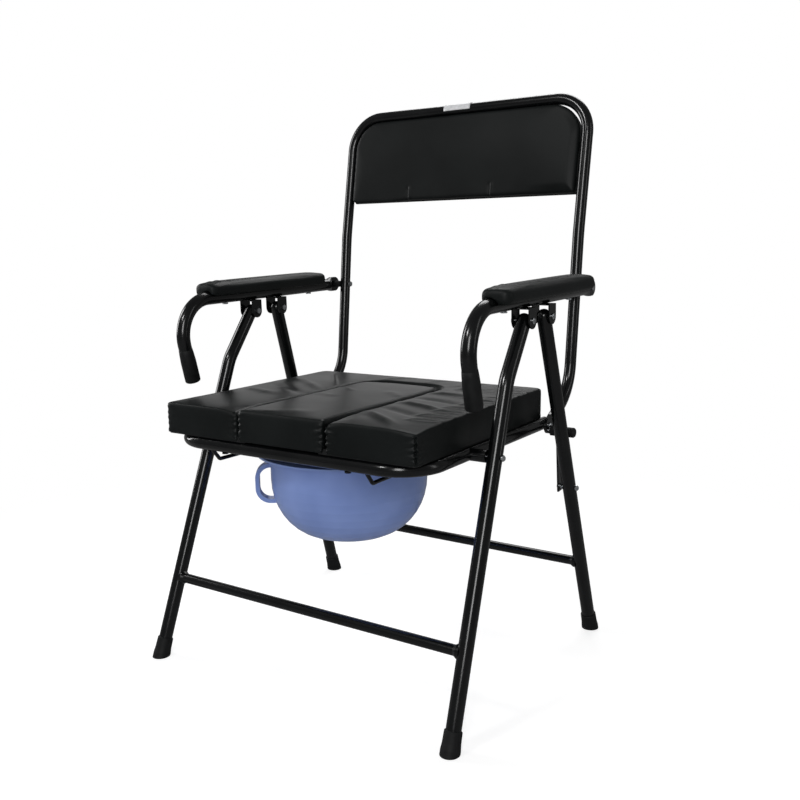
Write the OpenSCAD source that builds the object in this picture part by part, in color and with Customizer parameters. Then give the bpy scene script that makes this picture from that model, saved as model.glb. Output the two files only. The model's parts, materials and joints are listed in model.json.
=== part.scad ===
// Folding commode chair: tubular steel frame, vinyl cushions, lift-out seat
// centre and a bucket that rides on two wires under the seat.
// Millimetres. +X is the sitter's left, -Y is the front, +Z is up.
// Y is counted here from midway between the front and rear feet; place() then
// puts the origin on the floor under the middle of the whole chair.

/* [Pivots] */
// Armrest pivot on the back frame, behind the midpoint
arm_pivot_y = 247.5; // [235:0.5:260]
// Armrest tube centre height at that pivot
arm_z = 597.5; // [585:0.5:612]
// Slope of the armrests, down towards the front
arm_slope = 1.2; // [0:0.1:2]
// Front leg pivot along the armrest, measured behind the midpoint
front_pivot_y = -2.5; // [-12:0.5:6]
// Distance between the front and rear leg pivots under the armrest
pivot_spacing = 69; // [60:1:80]
// Both leg pivots, below the armrest tube
pivot_drop = 30; // [28:0.5:38]
// Seat frame centre height
seat_z = 379; // [370:1:388]
// Seat pivot on the front leg, measured behind the midpoint
seat_front_y = -100.5; // [-104:0.5:-97]
// Seat pivot on the back frame
seat_rear_y = 150.5; // [144:0.5:158]
// Strut pivot height on the rear leg
strut_low_z = 276; // [262:1:290]

/* [Legs] */
// Half distance between the leg planes at the armrest
leg_plane = 264.5; // [262:0.5:272]
// Leg tube diameter
leg_d = 22; // [20:0.5:24]
// Wall of the bent tubes
tube_wall = 1.3; // [1:0.1:1.8]
// Front foot, ahead of the midpoint
front_foot_y = 245; // [235:1:256]
// Rear foot, behind the midpoint
rear_foot_y = 245; // [235:1:256]
// How far each front foot stands out sideways
front_splay = 15; // [8:1:20]
// How far each rear foot stands out sideways
rear_splay = 19.5; // [13:0.5:24]
// Bend near the top of the front leg, below its pivot
front_bend_drop = 79.5; // [72:0.5:90]
// How far that bend lies ahead of the front leg pivot
front_bend_set = 58.5; // [52:0.5:64]
// Radius of that bend
front_bend_r = 70; // [50:5:110]
// Front crossbar height
front_bar_z = 125.5; // [110:0.5:140]
// Rear crossbar height
rear_bar_z = 134; // [118:1:150]
// Crossbar diameter
bar_d = 16; // [13:0.5:18]
// Rubber foot height
foot_h = 31; // [26:1:38]
// Rubber foot radius at its collar
foot_collar_r = 12.8; // [12.6:0.1:13.6]
// Rubber foot radius on the floor
foot_base_r = 14.2; // [13.6:0.1:16]
// Rubber under the end of each leg tube
foot_sole = 6; // [4:0.5:10]

/* [Armrests] */
// Armrest tube diameter
arm_d = 22; // [20:0.5:24]
// Front handle bend radius, on the tube centre
handle_r = 60; // [52:1:68]
// Start of the front handle bend, ahead of the midpoint
handle_start_y = 109.5; // [100:0.5:118]
// Straight grip below the bend
grip_l = 58; // [45:1:70]
// Angle of the grip, back from upright
grip_rake = 12.5; // [6:0.5:18]
// Pad length
pad_l = 311.5; // [296:0.5:312]
// Front end of the pad, ahead of the midpoint
pad_front_y = 107.5; // [100:0.5:110]
// Pad width
pad_w = 49; // [44:1:54]
// Pad thickness
pad_t = 14; // [12:0.5:18]
// Corner radius of the pad, seen from above
pad_corner = 14; // [8:1:20]
// How far the pad sits outboard of its tube
pad_offset = 7; // [2:1:8]
// Sheet thickness of the leg brackets
bracket_t = 2; // [1.5:0.1:2.4]
// Bracket length along the armrest
bracket_l = 24; // [20:1:30]
// Thickness of the flattened tube ends
flat_t = 4.8; // [4:0.1:5.2]

/* [Back] */
// Half distance between the upright centres
upright_x = 239.5; // [238.5:0.25:241]
// Back frame tube diameter
back_d = 19; // [17:0.5:19.5]
// Height at which the uprights bend backwards
back_bend_z = 685; // [665:1:710]
// Lean of the lower upright, back from vertical
low_lean = 5.6; // [4:0.1:7]
// Lean of the upper upright, back from vertical
top_lean = 9.7; // [7:0.1:12]
// Height of the top bar centre
top_bar_z = 910; // [885:1:930]
// Radius of the two top corners
top_corner_r = 60; // [50:1:70]
// Slope of the lower ends, below level
tail_slope = 31.8; // [28:0.1:34]
// Bend radius above the lower ends
tail_r = 85; // [60:1:90]
// Panel height along the lean
panel_h = 150.5; // [130:0.5:165]
// Panel thickness with its padding
panel_t = 20; // [14:1:26]
// Thickness of the board in the panel
board_t = 5; // [3:0.5:6]
// Gap between the panel and the tube round it
panel_gap = 1.2; // [0.8:0.1:4]
// Radius of the panel's two upper corners
panel_corner = 54; // [45:1:65]

/* [Seat] */
// Half distance between the seat frame side tubes
seat_tube_x = 226; // [224:0.5:227]
// Seat frame tube diameter
seat_d = 20; // [18:0.5:20]
// Front tube of the seat frame, ahead of the midpoint
seat_front_tube_y = 238; // [232:1:244]
// Corner radius of the seat frame
seat_corner_r = 63; // [40:1:75]
// Rear cross tube, behind the midpoint
seat_bar_y = 132; // [120:1:136]
// Cushion half width
cushion_x = 232.5; // [228:0.5:234]
// Front edge of the cushion, ahead of the midpoint
cushion_front_y = 248.5; // [245:0.5:254]
// Rear edge of the cushion, behind the midpoint
cushion_rear_y = 160; // [150:1:162]
// How far each side of the cushion comes in from front to rear
cushion_taper = 3.6; // [3:0.1:8]
// Radius of the cushion's front corners, seen from above
cushion_r = 9; // [6:1:16]
// Radius of the cushion's rear corners, seen from above
cushion_rear_r = 13; // [8:1:24]
// Height of the whole cushion, with its board
cushion_h = 48; // [40:0.5:54]
// Thickness of the seat board
seat_board_t = 8; // [6:0.5:10]
// Width of the loose centre cushion
centre_w = 161; // [150:1:170]
// Rear end of the loose centre cushion, behind the midpoint
centre_rear_y = 98; // [90:1:103]
// Rounding of its rear corners
centre_r = 46; // [35:1:60]
// Gap between the two cushions
cushion_gap = 1.5; // [0.8:0.1:3]
// Ledge of the seat board under the loose cushion
ledge = 13; // [8:1:18]

/* [Bucket and rails] */
// Wire diameter of the bucket rails
wire_d = 6; // [5:0.5:7]
// Height of the rails
rail_z = 352; // [346:0.5:354]
// Space between the bucket's side and each rail at the front
rail_space = 20; // [16:0.5:24]
// How much nearer together each rail comes at the rear
rail_taper = 9; // [0:0.5:12]
// Bottom of the front catch, ahead of the midpoint
catch_y = 221; // [216:1:224]
// Bucket axis, ahead of the midpoint
bucket_y = 79; // [70:1:90]
// Bucket radius under its rim
bucket_r = 124.5; // [118:0.5:130]
// Reach of the flange that rides on the rails
flange_reach = 21; // [18:0.5:24]
// Height of the bucket
bucket_h = 138; // [120:1:150]
// Bucket wall
bucket_wall = 2.4; // [1.8:0.1:3.2]
// Radius of the flat bottom
bucket_floor_r = 44; // [35:1:55]
// Reach of the bucket handle
handle_reach = 24.5; // [22:0.5:30]
// Handle strap width
strap_w = 20; // [14:1:26]
// Handle strap thickness
strap_t = 6.5; // [5:0.5:9]
// Direction of the handle, forward of the chair's right side
handle_turn = 38; // [20:1:45]

/* [Fits] */
// Radius of the pivot bolts
bolt_r = 3; // [2.5:0.25:3.5]
// Running clearance of a pivot, on the radius
pivot_fit = 0.06; // [0.02:0.01:0.1]
// Clearance between neighbouring pieces
clear = 0.3; // [0.2:0.05:0.5]
// Clearance of a seated weld or collar
seat_gap = 0.05; // [0.02:0.01:0.1]

/* [Hidden] */
$fn = 64;
hull_fn = 32;
overlap = 0.5;
swell = 0.05;

// colours
steel_black = [0.05, 0.05, 0.055];
vinyl_black = [0.10, 0.10, 0.105];
rubber_grey = [0.13, 0.13, 0.13];
zinc = [0.75, 0.76, 0.77];
lavender = [0.43, 0.49, 0.67];
plywood = [0.55, 0.42, 0.28];

// radii of the tubes
leg_r = leg_d / 2;
arm_r = arm_d / 2;
back_r = back_d / 2;
seat_r = seat_d / 2;
bar_r = bar_d / 2;
wire_r = wire_d / 2;

// pivots as [y, z]; the leg pivots are set out along a level armrest, then sloped with it
arm_pivot = [arm_pivot_y, arm_z];
front_mount = [front_pivot_y, arm_z - pivot_drop];
rear_mount = [front_pivot_y + pivot_spacing, arm_z - pivot_drop];
function sloped(p) = arm_pivot + [cos(arm_slope) * (p[0] - arm_pivot_y) - sin(arm_slope) * (p[1] - arm_z),
    sin(arm_slope) * (p[0] - arm_pivot_y) + cos(arm_slope) * (p[1] - arm_z)];
front_pivot = sloped(front_mount);
rear_pivot = sloped(rear_mount);
seat_pivot = [seat_front_y, seat_z];
hinge_pivot = [seat_rear_y, seat_z - 1];

// leg centre lines as [y, z]
front_foot = [-front_foot_y, 0];
rear_foot = [rear_foot_y, 0];
front_bend = front_pivot - [front_bend_set, front_bend_drop];
rear_slope = atan((rear_foot_y - rear_pivot[0]) / rear_pivot[1]);
front_slope = atan((front_foot_y + front_bend[0]) / front_bend[1]);
function front_leg_y(z) = -front_foot_y + z * tan(front_slope);
function rear_leg_y(z) = rear_foot_y - z * tan(rear_slope);
function front_leg_x(z) = leg_plane + front_splay * (1 - z / front_pivot[1]);
function rear_leg_x(z) = leg_plane + rear_splay * (1 - z / rear_pivot[1]);

// each pair of legs as [foot, heading of the leg, sideways tilt, pivot height]
front_set = [front_foot, 90 - front_slope, atan(front_splay / front_pivot[1]), front_pivot[1]];
rear_set = [rear_foot, 90 + rear_slope, atan(rear_splay / rear_pivot[1]), rear_pivot[1]];

// the stop pin touches the back of the rear leg just under the seat hinge
pin_drop = 8;
sleeve_r = 8.2;
pin_z = hinge_pivot[1] - pin_drop;
pin = [rear_leg_y(pin_z) + (leg_r + sleeve_r + clear) / cos(rear_slope), pin_z];
strut_pivot = [rear_leg_y(strut_low_z), strut_low_z];

// back frame centre line as [y, z]
low_line_y = arm_pivot_y - arm_z * tan(low_lean);
function upright_y(z) = low_line_y + z * tan(low_lean);
tail_knee_z = (hinge_pivot[1] + (low_line_y - hinge_pivot[0]) * tan(tail_slope))
    / (1 - tan(low_lean) * tan(tail_slope));
tail_knee = [upright_y(tail_knee_z), tail_knee_z];
back_bend = [upright_y(back_bend_z), back_bend_z];
top_bar = [back_bend[0] + (top_bar_z - back_bend_z) * tan(top_lean), top_bar_z];
back_bend_r = 200;

// flattened ends
flat_w = 27;
flat_run = 26;
flat_blend = 14;
hinge_flat_x = seat_tube_x + seat_r + clear + flat_t / 2;
arm_flat_x = leg_plane + 3;

// the chair's depth runs from the front feet to the top bar
depth_front = front_foot_y + foot_base_r / cos(front_slope);
depth_rear = top_bar[0] + back_r + swell;
middle_y = (depth_rear - depth_front) / 2;

// seat
board_z = seat_z + seat_r + clear;
board_inset = 4;
centre_base_z = board_z + seat_board_t + clear;
cushion_top = board_z + cushion_h;
slot_x = centre_w / 2 + cushion_gap;

// bucket and its rails
flange_r = bucket_r + flange_reach;
rail_front_x = bucket_r + rail_space;
rail_rear_x = rail_front_x - rail_taper;
flange_t = 3;
flange_z = rail_z + wire_r + clear;
rim_top = flange_z + flange_t;
bucket_base = rim_top - bucket_h;

// ---- helpers -------------------------------------------------------------

module place() {
    translate([0, -middle_y, 0]) children();
}

module both_sides() {
    children();
    mirror([1, 0, 0]) children();
}

// turns a drawing in X-Y into the side view: X becomes Y, Y becomes Z
module side_view(x = 0) {
    translate([x, 0, 0]) rotate([90, 0, 90]) children();
}

// cylinder along X from x0 to x1 at [y, z]
module rod_x(x0, x1, at, r) {
    translate([x0, at[0], at[1]]) rotate([0, 90, 0]) cylinder(h = x1 - x0, r = r);
}

module ring(r, wall) {
    difference() {
        circle(r);
        if (wall > 0) circle(r - wall);
    }
}

function heading(a, b) = atan2(b[1] - a[1], b[0] - a[0]);
function turn(a, v, b) = (heading(v, b) - heading(a, v) + 540) % 360 - 180;
function lead(a, v, b, r) = r * tan(abs(turn(a, v, b)) / 2);
function along(p, angle, l) = p + l * [cos(angle), sin(angle)];
function trims(pts, radii, i) = (i == 0 || i == len(pts) - 1) ? 0
    : lead(pts[i - 1], pts[i], pts[i + 1], radii[i]);

// bent tube along a flat path, with a radius at each inner point; a bend is a
// hair thicker than the straights, which run into it
module bend(centre, from, angle, radius, r, wall) {
    translate(centre) rotate([0, 0, from]) rotate_extrude(angle = angle)
        translate([radius, 0]) ring(r + swell, wall > 0 ? wall + 2 * swell : 0);
}

module tube_path(pts, radii, r, wall) {
    last = len(pts) - 1;
    for (i = [0 : last - 1]) {
        h = heading(pts[i], pts[i + 1]);
        before = i == 0 ? 0 : overlap;
        after = i == last - 1 ? 0 : overlap;
        a = along(pts[i], h, trims(pts, radii, i) - before);
        l = norm(pts[i + 1] - pts[i]) - trims(pts, radii, i) - trims(pts, radii, i + 1);
        translate(a) rotate([0, 0, h]) rotate([90, 0, 90]) linear_extrude(l + before + after) ring(r, wall);
    }
    if (last > 1) for (i = [1 : last - 1]) {
        t = turn(pts[i - 1], pts[i], pts[i + 1]);
        h = heading(pts[i - 1], pts[i]);
        side = sign(t);
        centre = along(along(pts[i], h, -trims(pts, radii, i)), h + 90 * side, radii[i]);
        bend(centre, t > 0 ? h - 90 : h + 90 + t, abs(t), radii[i], r, wall);
    }
}

// flattened tube end in the side view: starts round at the origin, runs along +X
module flat_end(r, run, shift) {
    hull() {
        translate([-overlap, 0, 0]) rotate([90, 0, 90]) linear_extrude(overlap)
            circle((r + swell) / cos(180 / hull_fn), $fn = hull_fn);
        translate([flat_blend, -flat_w / 2, shift - flat_t / 2]) cube([overlap, flat_w, flat_t]);
    }
    translate([0, 0, shift - flat_t / 2]) linear_extrude(flat_t) {
        translate([flat_blend, -flat_w / 2]) square([run - flat_blend, flat_w]);
        translate([run, 0]) circle(flat_w / 2);
    }
}

// bolt along X with a domed head at the outer end and a nut at the inner end
module bolt_x(head_x, nut_x, at, r) {
    head_r = r * 1.55;
    head_h = r * 0.9;
    nut_h = r * 1.3;
    rod_x(nut_x - 1.5, head_x + 0.5, at, r);
    translate([head_x, at[0], at[1]]) rotate([0, 90, 0]) {
        cylinder(h = head_h * 0.6, r = head_r);
        translate([0, 0, head_h * 0.6]) cylinder(h = head_h * 0.4, r1 = head_r, r2 = head_r * 0.7);
    }
    translate([nut_x - nut_h, at[0], at[1]]) rotate([0, 90, 0]) cylinder(h = nut_h, r = r * 1.65, $fn = 6);
}

// ---- armrests ------------------------------------------------------------

// everything on the armrest is drawn level, then sloped about its pivot
module armrest_slope() {
    translate([0, arm_pivot_y, arm_z]) rotate([arm_slope, 0, 0]) translate([0, -arm_pivot_y, -arm_z]) children();
}

handle_turn_angle = 90 + grip_rake;
handle_lead = handle_r * tan(handle_turn_angle / 2);
handle_corner = [-handle_start_y - handle_lead, arm_z];
grip_heading = 270 + grip_rake;
grip_end = along(handle_corner, grip_heading, handle_lead + grip_l);
arm_round_end = arm_pivot_y - flat_run;

module armrest_tube() {
    color(steel_black) armrest_slope() difference() {
        side_view(leg_plane) union() {
            tube_path([[arm_round_end, arm_z], handle_corner, grip_end], [0, handle_r, 0], arm_r, tube_wall);
            translate([arm_round_end, arm_z]) flat_end(arm_r, flat_run, arm_flat_x - leg_plane);
        }
        rod_x(leg_plane - arm_d, leg_plane + arm_d, arm_pivot, bolt_r + pivot_fit);
        for (y = pad_screw_ys)
            translate([leg_plane, y, arm_z - arm_d]) cylinder(h = 2 * arm_d, r = screw_r + pivot_fit);
    }
}

// pad: a moulded bar with round corners and a softened upper edge
pad_base_z = arm_z + arm_r + seat_gap;
pad_edge = 5;
pad_rear_y = pad_l - pad_front_y;
screw_r = 2.4;
pad_screw_ys = [-67, 161];

// half section at a corner: straight side below, softened edge above
module pad_section() {
    square([pad_corner, pad_t - pad_edge]);
    square([pad_corner - pad_edge, pad_t]);
    translate([pad_corner - pad_edge, pad_t - pad_edge]) circle(pad_edge);
}

module pad_side(l) {
    rotate([90, 0, 0]) linear_extrude(l, center = true) pad_section();
}

module armrest_pad() {
    x = pad_w / 2 - pad_corner;
    y = pad_l / 2 - pad_corner;
    color(vinyl_black) armrest_slope() difference() {
        translate([leg_plane + pad_offset, pad_rear_y - pad_l / 2, pad_base_z]) {
            translate([-x - overlap, -y - overlap, 0]) cube([2 * (x + overlap), 2 * (y + overlap), pad_t]);
            for (a = [0, 180]) rotate(a) {
                translate([x, y, 0]) rotate_extrude(angle = 90) pad_section();
                translate([-x, y, 0]) rotate(90) rotate_extrude(angle = 90) pad_section();
                translate([x, 0, 0]) pad_side(2 * y);
                translate([0, y, 0]) rotate(90) pad_side(2 * x);
            }
        }
        for (y = pad_screw_ys)
            translate([leg_plane, y, pad_base_z - 1]) cylinder(h = 1 + pad_t / 2, r = screw_r + pivot_fit);
    }
}

module grip_tips() {
    tip_wall = 1.6;
    tip_l = 16;
    inner = arm_r + seat_gap;
    outer = arm_r + tip_wall;
    color(rubber_grey) both_sides() armrest_slope() side_view(leg_plane)
        translate(grip_end) rotate([0, 0, grip_heading]) rotate([0, 90, 0]) rotate_extrude()
            polygon([[0, seat_gap], [inner, seat_gap], [inner, -tip_l], [outer, -tip_l], [outer, tip_wall],
                [outer - 1, tip_wall + 2], [outer - 3, tip_wall + 3], [0, tip_wall + 3]]);
}

// folded U of sheet steel under the armrest; the leg turns between its cheeks
cheek_in = leg_r + 1.5;
cheek_r = bracket_l / 2;
web_top = arm_z - arm_r - seat_gap;

module leg_bracket(at) {
    side_cheek_h = web_top - at[1];
    difference() {
        union() {
            translate([leg_plane - cheek_in - bracket_t, at[0] - cheek_r, web_top - bracket_t])
                cube([2 * (cheek_in + bracket_t), bracket_l, bracket_t]);
            for (x = [leg_plane - cheek_in - bracket_t, leg_plane + cheek_in]) side_view(x) linear_extrude(bracket_t) {
                translate([at[0] - cheek_r, at[1]]) square([bracket_l, side_cheek_h]);
                translate(at) circle(cheek_r);
            }
        }
        rod_x(leg_plane - leg_d, leg_plane + leg_d, at, bolt_r + pivot_fit);
    }
}

module front_leg_brackets() {
    color(steel_black) both_sides() armrest_slope() leg_bracket(front_mount);
}

module rear_leg_brackets() {
    color(steel_black) both_sides() armrest_slope() leg_bracket(rear_mount);
}

module leg_bolts() {
    face = cheek_in + bracket_t + clear;
    color(zinc) both_sides() for (at = [front_pivot, rear_pivot])
        bolt_x(leg_plane + face, leg_plane - face, at, bolt_r);
}

module armrest_bolts() {
    color(zinc) both_sides()
        bolt_x(arm_flat_x + flat_t / 2 + clear, upright_x - back_r - clear, arm_pivot, bolt_r);
}

module armrest_washers() {
    from = upright_x + back_r + clear;
    to = arm_flat_x - flat_t / 2 - clear;
    color(rubber_grey) both_sides() difference() {
        rod_x(from, to, arm_pivot, 2 * bolt_r);
        rod_x(from - 1, to + 1, arm_pivot, bolt_r + pivot_fit);
    }
}

module pad_screws() {
    head_h = 2;
    under = arm_z - arm_r - seat_gap;
    color(zinc) both_sides() armrest_slope() for (y = pad_screw_ys) translate([leg_plane, y, under - head_h]) {
        cylinder(h = head_h, r = 2 * screw_r);
        cylinder(h = head_h + arm_d + pad_t / 3, r = screw_r);
    }
}

// ---- back ----------------------------------------------------------------

tail_start = along(hinge_pivot, tail_slope, flat_run);
corner_join = overlap * [sin(top_lean), cos(top_lean)];
corner_z = top_bar_z - top_corner_r * cos(top_lean);
corner_base = [back_bend[0] + (corner_z - back_bend_z) * tan(top_lean), corner_z];

top_bar_half = upright_x - top_corner_r + overlap;

// drawing in X and distance up the lean, set at the top bar's plane
module lean_view() {
    translate([0, corner_base[0], corner_base[1]]) rotate([90 - top_lean, 0, 0]) children();
}

module upright() {
    side_view(upright_x) tube_path([tail_start, tail_knee, back_bend, corner_base + corner_join],
        [0, tail_r, back_bend_r, 0], back_r, tube_wall);
}

module tail_flat() {
    side_view(upright_x) translate(tail_start) rotate([0, 0, tail_slope + 180])
        flat_end(back_r, flat_run, hinge_flat_x - upright_x);
}

module back_frame() {
    color(steel_black) difference() {
        union() {
            both_sides() {
                upright();
                tail_flat();
                lean_view() bend([upright_x - top_corner_r, 0], 0, 90, top_corner_r, back_r, tube_wall);
            }
            lean_view() translate([-top_bar_half, top_corner_r, 0])
                rotate([90, 0, 90]) linear_extrude(2 * top_bar_half) ring(back_r, tube_wall);
        }
        both_sides() {
            rod_x(upright_x - back_d, upright_x + back_d, arm_pivot, bolt_r + pivot_fit);
            rod_x(upright_x - back_d, upright_x + back_d, hinge_pivot, bolt_r + pivot_fit);
            rod_x(upright_x - back_d, upright_x + back_d, pin, pin_r + pivot_fit);
        }
    }
}

// panel between the uprights, in the lean plane
panel_x = upright_x - back_r - panel_gap;
panel_top = top_corner_r - back_r - panel_gap;
board_back = 0.25 - back_r;
pad_back = board_back + board_t + clear;
tab_front = -back_r - seat_gap;

module panel_outline(inset) {
    x = panel_x - inset;
    r = panel_corner - inset;
    top = panel_top - inset;
    low = panel_top - panel_h + inset;
    translate([-x, low]) square([2 * x, top - low - r]);
    translate([r - x, low]) square([2 * (x - r), top - low]);
    for (s = [-1, 1]) translate([s * (x - r), top - r]) circle(r);
}

module back_pad() {
    color(vinyl_black) lean_view() translate([0, 0, pad_back]) linear_extrude(panel_t - board_t) panel_outline(0);
}

module back_board() {
    color(vinyl_black) lean_view() translate([0, 0, board_back]) difference() {
        linear_extrude(board_t) panel_outline(1);
        for (x = [-tab_hole_x, tab_hole_x], y = tab_ys)
            translate([x, y, -1]) cylinder(h = board_t, r = screw_r + pivot_fit);
    }
}

// four steel tabs on the uprights carry the board
tab_w = 18;
tab_t = 2;
tab_low_rise = 22;
tab_high_drop = 70;
tab_lap = 18;
tab_hole_set = 10;
tab_ys = [panel_top - panel_h + tab_low_rise, panel_top - tab_high_drop];
tab_inner_x = panel_x - tab_lap;
tab_hole_x = panel_x - tab_hole_set;

module panel_tabs() {
    color(steel_black) both_sides() lean_view() for (y = tab_ys) translate([0, y, tab_front - tab_t])
        linear_extrude(tab_t) difference() {
            translate([tab_inner_x, -tab_w / 2]) square([upright_x - tab_inner_x, tab_w]);
            translate([tab_hole_x, 0]) circle(screw_r + pivot_fit);
        }
}

module panel_screws() {
    head_h = 2;
    color(zinc) both_sides() lean_view() for (y = tab_ys)
        translate([tab_hole_x, y, tab_front - tab_t - seat_gap - head_h]) {
            cylinder(h = head_h, r = 2 * screw_r);
            cylinder(h = head_h + tab_t + board_t * 0.7, r = screw_r);
        }
}

module seat_hinge_bolts() {
    color(zinc) both_sides()
        bolt_x(hinge_flat_x + flat_t / 2 + clear, seat_tube_x - seat_r - clear, hinge_pivot, bolt_r);
}

// steel pin under the seat hinge: it carries the strut and rests on the rear leg
pin_r = 3;
strut_t = 3;
strut_out = rear_leg_x(pin_z) - leg_r - 1;
strut_in = strut_out - strut_t;
sleeve_out = leg_plane + 21;

module stop_pins() {
    inner = hinge_flat_x - flat_t / 2 - 0.2;
    color(zinc) both_sides() rod_x(inner, sleeve_out - 2, pin, pin_r);
}

module stop_sleeves() {
    from = hinge_flat_x + flat_t / 2 + 2 * clear + bolt_r;
    color(rubber_grey) both_sides() {
        difference() {
            rod_x(from, strut_in - clear, pin, sleeve_r);
            rod_x(from - 1, strut_in, pin, pin_r + pivot_fit);
        }
        difference() {
            union() {
                rod_x(strut_out + clear, sleeve_out - 2, pin, sleeve_r);
                translate([sleeve_out - 2, pin[0], pin[1]]) rotate([0, 90, 0])
                    cylinder(h = 2, r1 = sleeve_r, r2 = sleeve_r - 1.5);
            }
            rod_x(strut_out, sleeve_out - 2 + seat_gap, pin, pin_r + pivot_fit);
        }
    }
}

// ---- seat ----------------------------------------------------------------

seat_tube_end = seat_rear_y + 11;
board_screw_front_x = 115;
board_screw_rear_x = 100;

module seat_outer(r) {
    translate([0, 0, seat_z]) tube_path([[seat_tube_x, seat_tube_end], [seat_tube_x, -seat_front_tube_y],
        [-seat_tube_x, -seat_front_tube_y], [-seat_tube_x, seat_tube_end]],
        [0, seat_corner_r, seat_corner_r, 0], r, tube_wall);
}

module seat_frame() {
    color(steel_black) difference() {
        seat_outer(seat_r);
        both_sides() {
            rod_x(seat_tube_x - seat_d, seat_tube_x + seat_d, hinge_pivot, bolt_r + pivot_fit);
            translate([board_screw_front_x, -seat_front_tube_y, seat_z - seat_d])
                cylinder(h = 2 * seat_d, r = screw_r + pivot_fit);
        }
    }
}

module seat_cross_tube() {
    span = seat_tube_x - seat_r * 0.2;
    color(steel_black) difference() {
        rod_x(-span, span, [seat_bar_y, seat_z], bar_r);
        rod_x(-span - 1, span + 1, [seat_bar_y, seat_z], bar_r - tube_wall);
        for (s = [-1, 1]) translate([s * seat_tube_x, 0, seat_z]) rotate([-90, 0, 0])
            cylinder(h = seat_bar_y + 40, r = seat_r + seat_gap);
        for (s = [-1, 1]) translate([s * board_screw_rear_x, seat_bar_y, seat_z - bar_d])
            cylinder(h = 2 * bar_d, r = screw_r + pivot_fit);
    }
}

module seat_plugs() {
    plug_l = 7;
    inner = seat_r - tube_wall - seat_gap;
    color(rubber_grey) both_sides() translate([seat_tube_x, seat_tube_end + seat_gap, seat_z]) rotate([-90, 0, 0]) {
        cylinder(h = 2, r = seat_r);
        translate([0, 0, 2]) cylinder(h = 2, r1 = seat_r, r2 = seat_r - 3);
        translate([0, 0, -plug_l + 1]) cylinder(h = plug_l, r = inner);
    }
}

spacer_r = 9.2;
spacer_end = front_leg_x(seat_z) - leg_r - 0.6;

module seat_spacers() {
    color(steel_black) both_sides() difference() {
        rod_x(seat_tube_x, spacer_end, seat_pivot, spacer_r);
        rod_x(seat_tube_x - 1, spacer_end + 1, seat_pivot, bolt_r + 4 * pivot_fit);
        translate([seat_tube_x, seat_front_y - 30, seat_z]) rotate([-90, 0, 0])
            cylinder(h = 60, r = seat_r + seat_gap);
    }
}

// wire rail: hangs from the front tube in a V, runs back level and turns up again
rail_run = seat_bar_y + seat_front_tube_y;
rail_turn = atan((rail_front_x - rail_rear_x) / rail_run);

module rail() {
    color(steel_black) difference() {
        translate([rail_front_x, -seat_front_tube_y, 0]) rotate([0, 0, rail_turn]) rotate([90, 0, 90])
            tube_path([[0, seat_z - seat_r + 4], [seat_front_tube_y - catch_y, rail_z],
                [rail_run - 16, rail_z], [rail_run, seat_z - bar_r + 3]],
                [0, wire_d, 2 * wire_d, 0], wire_r, 0);
        rod_x(0, rail_front_x + 30, [-seat_front_tube_y, seat_z], seat_r + seat_gap);
        rod_x(0, rail_front_x + 30, [seat_bar_y, seat_z], bar_r + seat_gap);
    }
}

// outline from the front edge back to a rounded rear end
module slot_outline(half, front, rear, r) {
    translate([-half, -front]) square([2 * half, front + rear - r]);
    translate([r - half, -front]) square([2 * (half - r), front + rear]);
    for (s = [-1, 1]) translate([s * (half - r), rear - r]) circle(r);
}

// the sides come in towards the rear, so that the folding cushion passes between the uprights
side_turn = atan(cushion_taper / (cushion_front_y + cushion_rear_y));
side_out = cushion_x * cos(side_turn) - cushion_front_y * sin(side_turn);

// centre of a corner of radius r at height y, with its circle touching the side
function corner_x(inset, r, y) = (side_out - inset - r - y * sin(side_turn)) / cos(side_turn);

module seat_outline(inset) {
    front_r = cushion_r - inset;
    rear_r = cushion_rear_r - inset;
    front = [corner_x(inset, front_r, cushion_r - cushion_front_y), cushion_r - cushion_front_y];
    rear = [corner_x(inset, rear_r, cushion_rear_y - cushion_rear_r), cushion_rear_y - cushion_rear_r];
    out = [cos(side_turn), sin(side_turn)];
    for (s = [0, 1]) mirror([s, 0]) {
        polygon([[-1, inset - cushion_front_y], [front[0], inset - cushion_front_y], front + front_r * out,
            rear + rear_r * out, [rear[0], cushion_rear_y - inset], [-1, cushion_rear_y - inset]]);
        translate(front) circle(front_r);
        translate(rear) circle(rear_r);
    }
}

module seat_board() {
    half = slot_x - ledge;
    color(plywood) difference() {
        translate([0, 0, board_z]) linear_extrude(seat_board_t) difference() {
            seat_outline(board_inset);
            slot_outline(half, cushion_front_y + 1, centre_rear_y + cushion_gap - ledge, centre_r - ledge);
        }
        both_sides() for (s = board_screws) translate([s[0], s[1], board_z - 1])
            cylinder(h = 1 + seat_board_t * 0.8, r = screw_r + pivot_fit);
    }
}

// screws up through the front tube and the cross tube, as [x, y, tube radius]
board_screws = [[board_screw_front_x, -seat_front_tube_y, seat_r], [board_screw_rear_x, seat_bar_y, bar_r]];

module seat_screws() {
    head_h = 2;
    color(zinc) both_sides() for (s = board_screws) {
        base = seat_z - s[2] - seat_gap - head_h;
        translate([s[0], s[1], base]) cylinder(h = head_h, r = 2 * screw_r);
        translate([s[0], s[1], base]) cylinder(h = board_z + seat_board_t * 0.7 - base, r = screw_r);
    }
}

module seat_cushion() {
    color(vinyl_black) translate([0, 0, board_z]) difference() {
        linear_extrude(cushion_h) seat_outline(0);
        translate([0, 0, -1]) linear_extrude(1 + seat_board_t + clear) seat_outline(board_inset - clear);
        translate([0, 0, -1]) linear_extrude(cushion_h + 2)
            slot_outline(slot_x, cushion_front_y + 1, centre_rear_y + cushion_gap, centre_r + cushion_gap);
    }
}

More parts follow.
